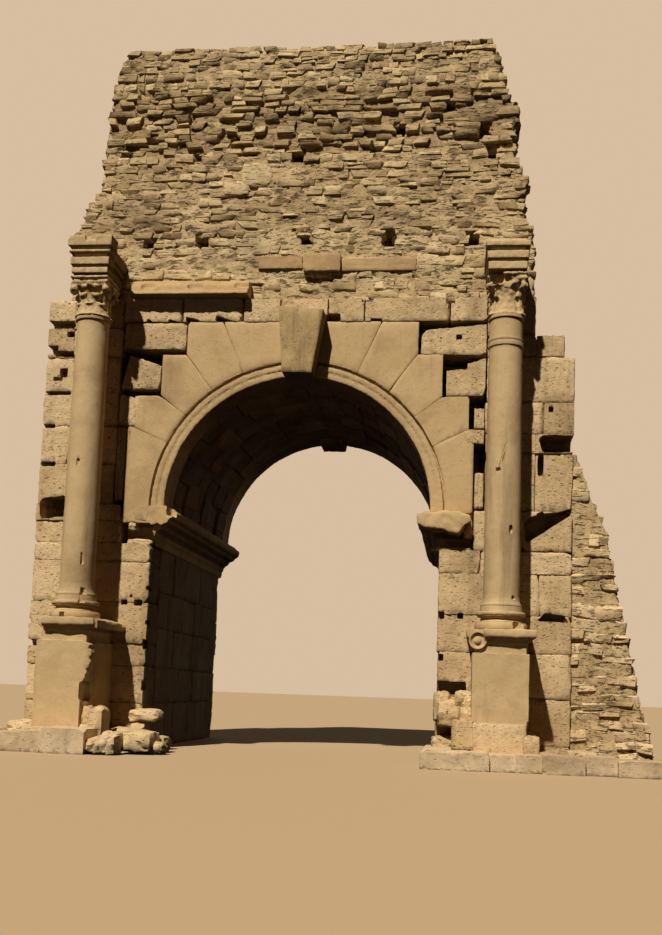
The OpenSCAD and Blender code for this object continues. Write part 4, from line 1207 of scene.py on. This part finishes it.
# Half width, hollow and depth under the top, of the plate's rings
PLATE = ((0.385, 0.2, 0.11), (0.395, 0.2, 0.075), (0.4, 0.2, 0.06), (0.418, 0.18, 0.045), (0.42, 0.18, 0))
# Half width and depth under the top, of the two bands
BANDS = ((0.31, 0.13), (0.31, 0.085), (0.35, 0.08), (0.35, 0.045), (0.32, 0.04), (0.32, 0.001))


def leaf(height, curl):
    """One leaf: along, outwards and up, from the foot of its back"""
    bpy.ops.object.select_all(action="DESELECT")
    bpy.ops.mesh.primitive_grid_add(x_subdivisions=8, y_subdivisions=10, size=1)
    piece = bpy.context.active_object
    points = points_of(piece)
    u, t = 2 * points[:, 0], points[:, 1] + 0.5
    lobes = 1 - 0.22 * np.abs(np.sin(3.5 * np.pi * t)) - 0.5 * t ** 7
    tip = np.maximum(0, (t - 0.8) / 0.2)
    along = 0.5 * LEAF_WIDTH * u * lobes
    out = 0.02 + curl * t ** 3 - 0.012 * np.abs(u) + 0.012 * np.abs(np.sin(2.5 * np.pi * u))
    up = height * (np.minimum(t, 0.8) / 0.8 * 0.95 + 0.05 * np.sin(np.pi * tip) - 0.16 * tip ** 2)
    set_points(piece, np.column_stack([along, out, up]))
    apply(piece, "SOLIDIFY", thickness=0.034, offset=-1)
    return take_apart(piece)


def add_leaves(parts, centre, left):
    """Two rings of leaves round the bell; left says which of them the weather has left"""
    for ring, (height, curl, start) in zip(left, LEAVES):
        points, triangles = leaf(height, curl)
        r = np.interp(points[:, 2], [z for r, z in BELL], [r for r, z in BELL]) + points[:, 1]
        for count in range(8):
            if ring[count]:
                angle = np.radians(start + 45 * count) + points[:, 0] / LEAF_RADIUS
                placed = np.column_stack([centre[0] + r * np.sin(angle), centre[1] - r * np.cos(angle),
                                          CAP_Z + points[:, 2]])
                parts.add(placed, triangles[:, ::-1])


def add_corner(parts, centre, count):
    """A scroll on its stem at one corner, and the flower between it and the corner before"""
    angle = np.radians(45 + 90 * count)
    away = np.array([np.sin(angle), -np.cos(angle)])
    across = np.array([np.cos(angle), np.sin(angle)])
    turns = np.linspace(0, 2 * np.pi, 16, endpoint=False)
    stem = []
    for lean, reach, z, width, thick in STEM:
        flat = centre + away * reach + np.outer(width * np.cos(turns), across)
        flat = flat + np.outer(thick * np.sin(turns) * lean, away)
        stem.append(np.column_stack([flat, CAP_Z + z + thick * np.sin(turns) * (1 - lean)]))
    parts.add(*take_apart(lofted("stem", stem)))
    turns = np.linspace(0, 2 * np.pi, 20, endpoint=False)
    scroll = []
    for r, w in SCROLL:
        out = SCROLL_OUT + r * np.cos(turns)
        scroll.append(np.column_stack([centre[0] + away[0] * out + across[0] * w,
                                       centre[1] + away[1] * out + across[1] * w,
                                       CAP_Z + SCROLL_UP + r * np.sin(turns)]))
    parts.add(*take_apart(lofted("scroll", scroll)))
    middle = angle - np.pi / 4
    flower = centre + FLOWER_OUT * np.array([np.sin(middle), -np.cos(middle)])
    points, triangles = BOULDERS[count]
    low = np.array([*flower - FLOWER_SIZE[0] / 2, CAP_Z + FLOWER_UP])
    parts.add(box_shape(low, low + FLOWER_SIZE)(points), triangles)


def plate_ring(centre, half, bow, z):
    """The outline of the top plate, with its four hollow sides"""
    ring = []
    for quarter in range(4):
        turn = np.pi / 2 * quarter
        for t in np.linspace(-0.9, 0.9, 9):
            x, y = t * half, -half + bow * (1 - t * t) * half
            ring.append((centre[0] + x * np.cos(turn) - y * np.sin(turn),
                         centre[1] + x * np.sin(turn) + y * np.cos(turn), z))
    return ring


def capital(side, label, left, cuts, worn, tone):
    node = label + "_capital"
    centre = np.array([side * COLUMN_X, COLUMN_Y])
    parts = Masonry(BOULDERS)
    parts.add(*take_apart(lofted("bell", [circle(r, CAP_Z + z, centre, 40) for r, z in BELL])))
    add_leaves(parts, centre, left)
    for count in range(4):
        add_corner(parts, centre, count)
    top = CAP_TOP - 0.002
    plates = [plate_ring(centre, half, bow, top - down) for half, bow, down in PLATE]
    parts.add(*take_apart(lofted("plate", plates)))
    piece = parts.join(node + "_stone")
    points = points_of(piece)
    points[:, 2] = CAP_Z + (points[:, 2] - CAP_Z) * CAP_HEIGHT
    narrower = np.interp(points[:, 2] - CAP_Z, [0.02, 0.25], [1, 0.88])
    points[:, :2] = centre + (points[:, :2] - centre) * narrower[:, None]
    set_points(piece, points)
    banded = lofted("bands", [rectangle(centre[0] - half, centre[0] + half, centre[1] - half,
                                        centre[1] + half, CAP_TOP - down) for half, down in BANDS])
    only(piece)
    banded.select_set(True)
    bpy.ops.object.join()
    apply(piece, "REMESH", mode="VOXEL", voxel_size=0.013)
    carve(piece, cuts)
    weather(piece, voxel=0.014, lumps=[(0.2, 0.5 * worn), (0.06, worn)], kept=0.34)
    finish_piece(piece, marble, node, tone, 50)


front_y = COLUMN_Y - 0.5
capital(-1, "left", [[1, 1, 0, 1, 1, 1, 1, 1], [1] * 8],
        [((-3.45, front_y, CAP_Z - 0.02), (-3.3, COLUMN_Y, CAP_Z + 0.3)),
         ((-4.3, front_y, CAP_Z + 0.5), (-4.06, COLUMN_Y - 0.2, CAP_Z + 0.8)),
         ((-3.96, front_y - 0.1, CAP_TOP - 0.09), (-3.86, front_y + 0.15, CAP_TOP - 0.02)),
         ((-3.74, front_y - 0.1, CAP_TOP - 0.09), (-3.62, front_y + 0.15, CAP_TOP - 0.02))], 0.02, 0.7)
capital(1, "right", [[0, 0, 1, 1, 1, 1, 1, 0], [0, 1, 1, 1, 1, 1, 1, 0]],
        [((3.2, front_y, CAP_Z + 0.5), (3.72, COLUMN_Y - 0.16, CAP_TOP + 0.05)),
         ((3.5, front_y - 0.1, CAP_Z + 0.42), (3.86, COLUMN_Y - 0.26, CAP_TOP - 0.07)),
         ((3.9, front_y, CAP_Z + 0.1), (4.3, COLUMN_Y - 0.2, CAP_Z + 0.46))], 0.04, 0.62)

# Entablature blocks over the columns: growth on each side and height above the bed

BLOCK_PROFILE = [(0, 0), (0, 0.105), (-0.045, 0.115), (-0.045, 0.15), (0.02, 0.16), (0.024, 0.29),
                 (-0.035, 0.3), (-0.03, 0.365), (0.045, 0.375), (0.05, 0.42), (0.0, 0.43), (0.0, 0.485),
                 (0.07, 0.495), (0.08, 0.68)]
# The right block stands a little higher and has lost its top
RAISED = 0.035
WORN_PROFILE = [BLOCK_PROFILE[0], *[(out, z + RAISED) for out, z in BLOCK_PROFILE[1:9]],
                (0.05, 0.49), (0.0, 0.5), (-0.03, 0.56)]
HALF_BLOCK = 0.34
# The left block has lost its back right corner
BROKEN = 0.17
for side, label in SIDES:
    node = label + "_entablature_block"
    low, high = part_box(node)
    x = side * COLUMN_X
    front = low.y + BLOCK_PROFILE[-1][0]
    back = high.y + 0.1
    lost = BROKEN if side < 0 else 0
    rings = []
    for out, z in BLOCK_PROFILE if side < 0 else WORN_PROFILE:
        left, right = x - HALF_BLOCK - out, x + HALF_BLOCK + out
        corners = ((left, front - out), (right, front - out), (right, -2.8), (right - lost, -2.4),
                   (right - lost, back), (left, back))
        rings.append([(*corner, low.z + z) for corner in corners])
    piece = lofted(node + "_stone", rings)
    carve(piece, [((x - 0.5, front - 0.2, high.z - 0.1), (x - 0.38, front + 0.2, high.z + 0.1)),
                  ((x + 0.36, front - 0.2, low.z - 0.1), (x + 0.5, front + 0.1, low.z + 0.2)),
                  ((x - 0.1, front - 0.3, high.z - 0.12), (x + 0.12, front - 0.04, high.z + 0.1))])
    weather(piece, voxel=0.0125, lumps=[(0.3, 0.014), (0.07, 0.014)], kept=0.24)
    # Painted shade on both blocks' right sides and on the right block's left side
    finish_piece(piece, marble, node, 0.7, sides=(0.9 if side > 0 else 0, 1))

# Pedestals

die_front = PED_FRONT + FOOT_OUT
pedestal_back = FACE + 0.02
# Broken right edge of the left pedestal's slab, seen from above
BROKEN_EDGE = [(-3.3, PED_FRONT + 0.1), (-3.14, PED_FRONT + 0.04), (-3.13, -2.9), (-3.08, -2.5),
               (-3.11, -2.12), (-3.06, pedestal_back), (-3.3, pedestal_back)]
DIE_HALF = 0.475
NECK = 0.05
RIGHT_DIE = [(-DIE_HALF, 0.3), (0.45, 0.3), (0.46, 0.8), (DIE_HALF, 1.0), (DIE_HALF, 1.9), (-0.48, 1.9)]
LEFT_DIE = [(-DIE_HALF, 0.02), (0.38, 0.02), (0.39, 0.87), (0.4, 0.96), (0.45, 1.31), (0.52, 1.45),
            (0.56, 1.66), (0.5, 1.84), (0.36, 1.9), (-DIE_HALF, 1.9)]
WHOLE_DIE = [(math.copysign(DIE_HALF, dx), z) for dx, z in LEFT_DIE]
FEET = [((2.98, PED_FRONT, 0.3), (3.34, die_front + 0.5, 0.77)),
        ((3.3, PED_FRONT + 0.01, 0), (4.2, -2.6, 0.74)), ((3.2, -2.7, 0), (4.34, FACE, 0.6)),
        ((-4.34, PED_FRONT + 0.01, 0), (-3.45, FACE, 0.4))]
# Rings of the knob: radius, and distance out as a share of its length
KNOB_LENGTH = 2.5
KNOB = ((0.1, 0), (0.15, 0.03), (0.15, 0.06), (0.12, 0.05), (0.09, 0.02), (0.05, 0.05))
# Heights of the broken edge, and how far it reaches there
TONGUE = ((2.12, -3.1), (2.15, -3.08), (2.19, -3.05), (2.22, -3.05), (2.27, -3.1))


def pedestal(side, label, outlines, cuts):
    """The upright block of a pedestal, from its outlines seen from the front and their depths"""
    x = side * COLUMN_X
    rings = [[(x + dx, y, z) for dx, z in outline] for outline, y in outlines]
    piece = lofted(label + "_pedestal_die", rings)
    carve(piece, cuts)
    weather(piece, voxel=0.03, lumps=[(0.5, 0.03), (0.12, 0.014)], kept=0.2)
    finish_piece(piece, marble, label + "_pedestal", 0.66)


def pedestal_cap(side, label, cuts, extra):
    """The moulded slab of a pedestal, with one more part given as points and triangles"""
    x = side * COLUMN_X
    reach = DIE_HALF + FOOT_OUT
    neck = DIE_HALF - NECK
    rings = [rectangle(x - half, x + half, front, pedestal_back, z) for half, front, z in (
        (neck, die_front + NECK, SLAB_Z - 0.02), (neck, die_front + NECK, SLAB_Z + 0.17),
        (neck + 0.03, die_front + 0.01, SLAB_Z + 0.21), (reach - 0.02, PED_FRONT + 0.02, SLAB_Z + 0.27),
        (reach, PED_FRONT, SLAB_Z + 0.3), (reach, PED_FRONT, BASE_Z))]
    slab = lofted("slab", rings)
    carve(slab, cuts)
    cap = Masonry(BOULDERS)
    cap.add(*take_apart(slab))
    cap.add(*extra)
    piece = cap.join(label + "_pedestal_cap")
    weather(piece, voxel=0.02, lumps=[(0.3, 0.03), (0.08, 0.014)], kept=0.3)
    finish_piece(piece, marble, label + "_pedestal_slab", 0.72)


def knob_at(x, y, z):
    """A worn knob on the front of a slab"""
    points, triangles = take_apart(lofted("knob", [circle(r, out, (0, 0), 20) for r, out in KNOB]))
    return np.column_stack([x + points[:, 0], y - points[:, 2] * KNOB_LENGTH, z + points[:, 1]]), triangles


pedestal(-1, "left", [(LEFT_DIE, die_front), (LEFT_DIE, die_front + 0.12), (WHOLE_DIE, die_front + 0.4),
                      (WHOLE_DIE, pedestal_back)],
         [face_cut(-3.42, -3.1, 0.85, 1.2, 0.35, die_front), ((-3.98, -3.4, 1.28), (-3.9, -3.2, 1.34)),
          *face_cuts((-3.28, -3.1, 1.56, 1.63, 0.2, die_front), (-3.32, -3.2, 1.38, 1.44, 0.2, die_front),
                     (-3.29, -3.2, 1.74, 1.82, 0.2, die_front))])
pedestal(1, "right", [(RIGHT_DIE, die_front), (RIGHT_DIE, pedestal_back)],
         [face_cut(4.14, 4.4, 0.3, 0.72, 0.2, die_front)])

feet = Masonry(DRESSED, tone=0.55, spread=0.15)
lay_boxes(feet, FEET)
finish_piece(feet.join("pedestal_feet"), ashlar_stone)

tongue = lofted("tongue", [[(min(x, limit), y, z) for x, y in BROKEN_EDGE] for z, limit in TONGUE])
pedestal_cap(-1, "left", [((-4.6, PED_FRONT - 0.2, 2.0), (-4.12, PED_FRONT + 0.4, 2.45))], take_apart(tongue))
pedestal_cap(1, "right", [((3.1, PED_FRONT - 0.1, 2.0), (3.5, PED_FRONT + 0.25, 2.4))],
             knob_at(3.38, PED_FRONT + 0.22, 2.1))

# Footings and fallen stones

# The left kerb has a joint here, then one tall block, and is broken into lumps beyond
KERB_END = -3.8
KERB_TOP = 0.42
KERB_FOOT = -0.03
for side, label in SIDES:
    node = label + "_footing"
    low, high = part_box(node)
    stones = Masonry(PLAIN, tone=0.6, spread=0.2)
    last = KERB_END if side < 0 else high.x
    x = low.x
    while x < last - 0.02:
        step = rng.uniform(0.35, 0.85)
        end = last if last - x - step < 0.3 else x + step
        back_in = rng.uniform(0, 0.14)
        top = high.z * rng.uniform(0.72, 1)
        stones.lay(box_shape((x - 0.01, low.y + back_in, KERB_FOOT), (end + 0.01, high.y + 0.08, top)))
        x = end
    if side > 0:
        for x in np.arange(low.x, 4.6, 0.7):
            stones.lay(box_shape((x, low.y + 0.25, 0), (x + 0.78, FACE + 0.1, rng.uniform(0.2, 0.3))))
    else:
        stones.lay(box_shape((KERB_END + 0.04, low.y, KERB_FOOT), (-3.02, high.y + 0.05, KERB_TOP)))
        for x0, x1, top in ((-3.04, -2.76, 0.3), (-2.84, high.x, 0.36)):
            stones.lay(box_shape((x0, low.y + 0.02, KERB_FOOT), (x1, high.y + 0.05, top)), stones=BOULDERS)
    finish_piece(stones.join(node + "_stones"), footing_stones, node)

FALLEN = [((-3.62, -3.15, 0.28), (-3.2, -2.6, 0.84)), ((-3.36, -3.2, 0.1), (-2.98, -2.6, 0.8)),
          ((-3.66, -3.2, 0), (-3.1, -2.7, 0.5)), ((-3.01, -3.93, 0), (-2.74, -3.4, 0.29)),
          ((-2.85, -3.75, 0), (-2.5, -3.3, 0.4)), ((-2.66, -3.5, 0), (-2.0, -2.7, 0.42)),
          ((-2.5, -2.8, 0), (-1.95, -2.2, 0.3)), ((-3.3, -2.6, 0), (-2.5, -2.0, 0.42)),
          ((-2.3, -3.3, 0), (-1.85, -2.9, 0.24)), ((4.13, -3.4, 0.2), (4.42, -3.05, 0.58)),
          ((2.62, -2.5, 0.2), (3.1, -1.95, 0.5)), ((2.7, -2.75, 0.6), (3.25, -1.95, 1.12)),
          ((3.0, -2.75, 0.85), (3.4, -2.0, 1.28)), ((2.64, -2.5, 0.7), (2.95, -1.95, 1.26)),
          ((3.1, -3.1, 0.7), (3.42, -2.6, 1.0)), ((-4.9, -2.9, 0), (-4.35, -2.0, 0.5)),
          ((4.9, -2.6, 0), (5.5, -1.95, 0.34)), ((5.7, -3.2, 0.0), (6.3, -2.3, 0.22)),
          ((-5.6, -3.2, 0), (-4.9, -2.4, 0.3)), ((-2.88, FACE - 0.3, 0.48), (-2.28, FACE + 0.3, 0.75)),
          ((-2.84, FACE - 0.25, 0.2), (-2.54, FACE + 0.2, 0.54))]
fallen = Masonry(BOULDERS, tone=0.55, spread=0.3)
lay_boxes(fallen, FALLEN)
finish_piece(fallen.join("fallen_stones"), ashlar_stone)

# A node that no piece replaces shows its own shape, in its finish

FINISHES = {"ashlar": ashlar_stone, "carved_travertine": carved_stone, "column_marble": marble,
            "core_concrete": mortar, "vault_stone": soffit_stone, "attic_rubble": rubble_stones,
            "footing_stone": footing_stones}
slots = {part["node"]: part["material_slot"] for part in frame["record"]["subparts"]}
for node, piece in frame["nodes"].items():
    piece.data.materials.clear()
    piece.data.materials.append(FINISHES[slots[node]])

# Floor, light and camera

bpy.ops.object.select_all(action="DESELECT")
bpy.ops.mesh.primitive_plane_add(size=400)
floor = bpy.context.active_object
floor.name = "floor"
ground = Finish("pale_floor")
seen = ground.node("LightPath", output="Is Camera Ray")
ground.connect("Base Color", ground.mix(seen, linear(28, 20, 14), linear(182, 152, 112)))
ground.shader.inputs["Roughness"].default_value = 0.95
floor.data.materials.append(ground.material)


def heading(azimuth, height):
    """The direction of a line, from its azimuth off the arch's axis and its height"""
    level = math.cos(height)
    return Vector((math.sin(azimuth) * level, math.cos(azimuth) * level, math.sin(height)))


SUN_ENERGY = 4.65
SUN_SPREAD = math.radians(1.2)
SUN_COLOUR = (1, 0.97, 0.92)
bpy.ops.object.light_add(type="SUN")
sun = bpy.context.active_object
sun.data.energy = SUN_ENERGY
sun.data.angle = SUN_SPREAD
sun.data.color = SUN_COLOUR
sun.rotation_euler = heading(math.radians(16.5), -math.radians(50.5)).to_track_quat("-Z", "Y").to_euler()

# A weak fill, stronger from behind the object, so that its shaded back can be seen
FRONT_FILL = 0.004
BACK_FILL = 0.4
world = bpy.context.scene.world or bpy.data.worlds.new("sky")
bpy.context.scene.world = world
world.use_nodes = True
tree = world.node_tree
tree.nodes.clear()
sky = Sky(tree)
direction = sky.node("SeparateXYZ", {}, {0: sky.node("TexCoord", output="Generated")}, "Y")
strength = direction.above(0.2, 0.8) * BACK_FILL + FRONT_FILL
fill = sky.node("Background", {}, {"Color": (1, 0.86, 0.7, 1), "Strength": strength})
backdrop = sky.node("Background", {}, {"Color": linear(216, 190, 160)})
either = sky.node("MixShader", {}, {0: sky.node("LightPath", output="Is Camera Ray"), 1: fill, 2: backdrop})
sky.node("OutputWorld", {}, {0: either}, None)
bpy.context.scene.view_settings.view_transform = "Standard"

IMAGE_W, IMAGE_H = 662, 935
FOCAL = 1055.3
CENTRE_X, CENTRE_Y = 346.3, 572.9
SENSOR = 36
YAW, PITCH, ROLL = [math.radians(a) for a in (-6.42, 6.355, 2.016)]
CAMERA_PLACE = (3.134, -20.888, 1.199)
forward = heading(YAW, PITCH)
level = Vector((math.cos(YAW), -math.sin(YAW), 0))
upward = level.cross(forward)
right_hand = level * math.cos(ROLL) + upward * math.sin(ROLL)
upward = upward * math.cos(ROLL) - level * math.sin(ROLL)
bpy.ops.object.camera_add()
camera = bpy.context.active_object
camera.matrix_world = Matrix.Translation(CAMERA_PLACE) @ Matrix(
    (right_hand, upward, -forward)).transposed().to_4x4()
camera.data.sensor_width = SENSOR
camera.data.sensor_fit = "AUTO"
camera.data.lens = FOCAL * SENSOR / IMAGE_H
camera.data.shift_x = (IMAGE_W / 2 - CENTRE_X) / IMAGE_H
camera.data.shift_y = (CENTRE_Y - IMAGE_H / 2) / IMAGE_H
camera.data.clip_end = 500
bpy.context.scene.camera = camera
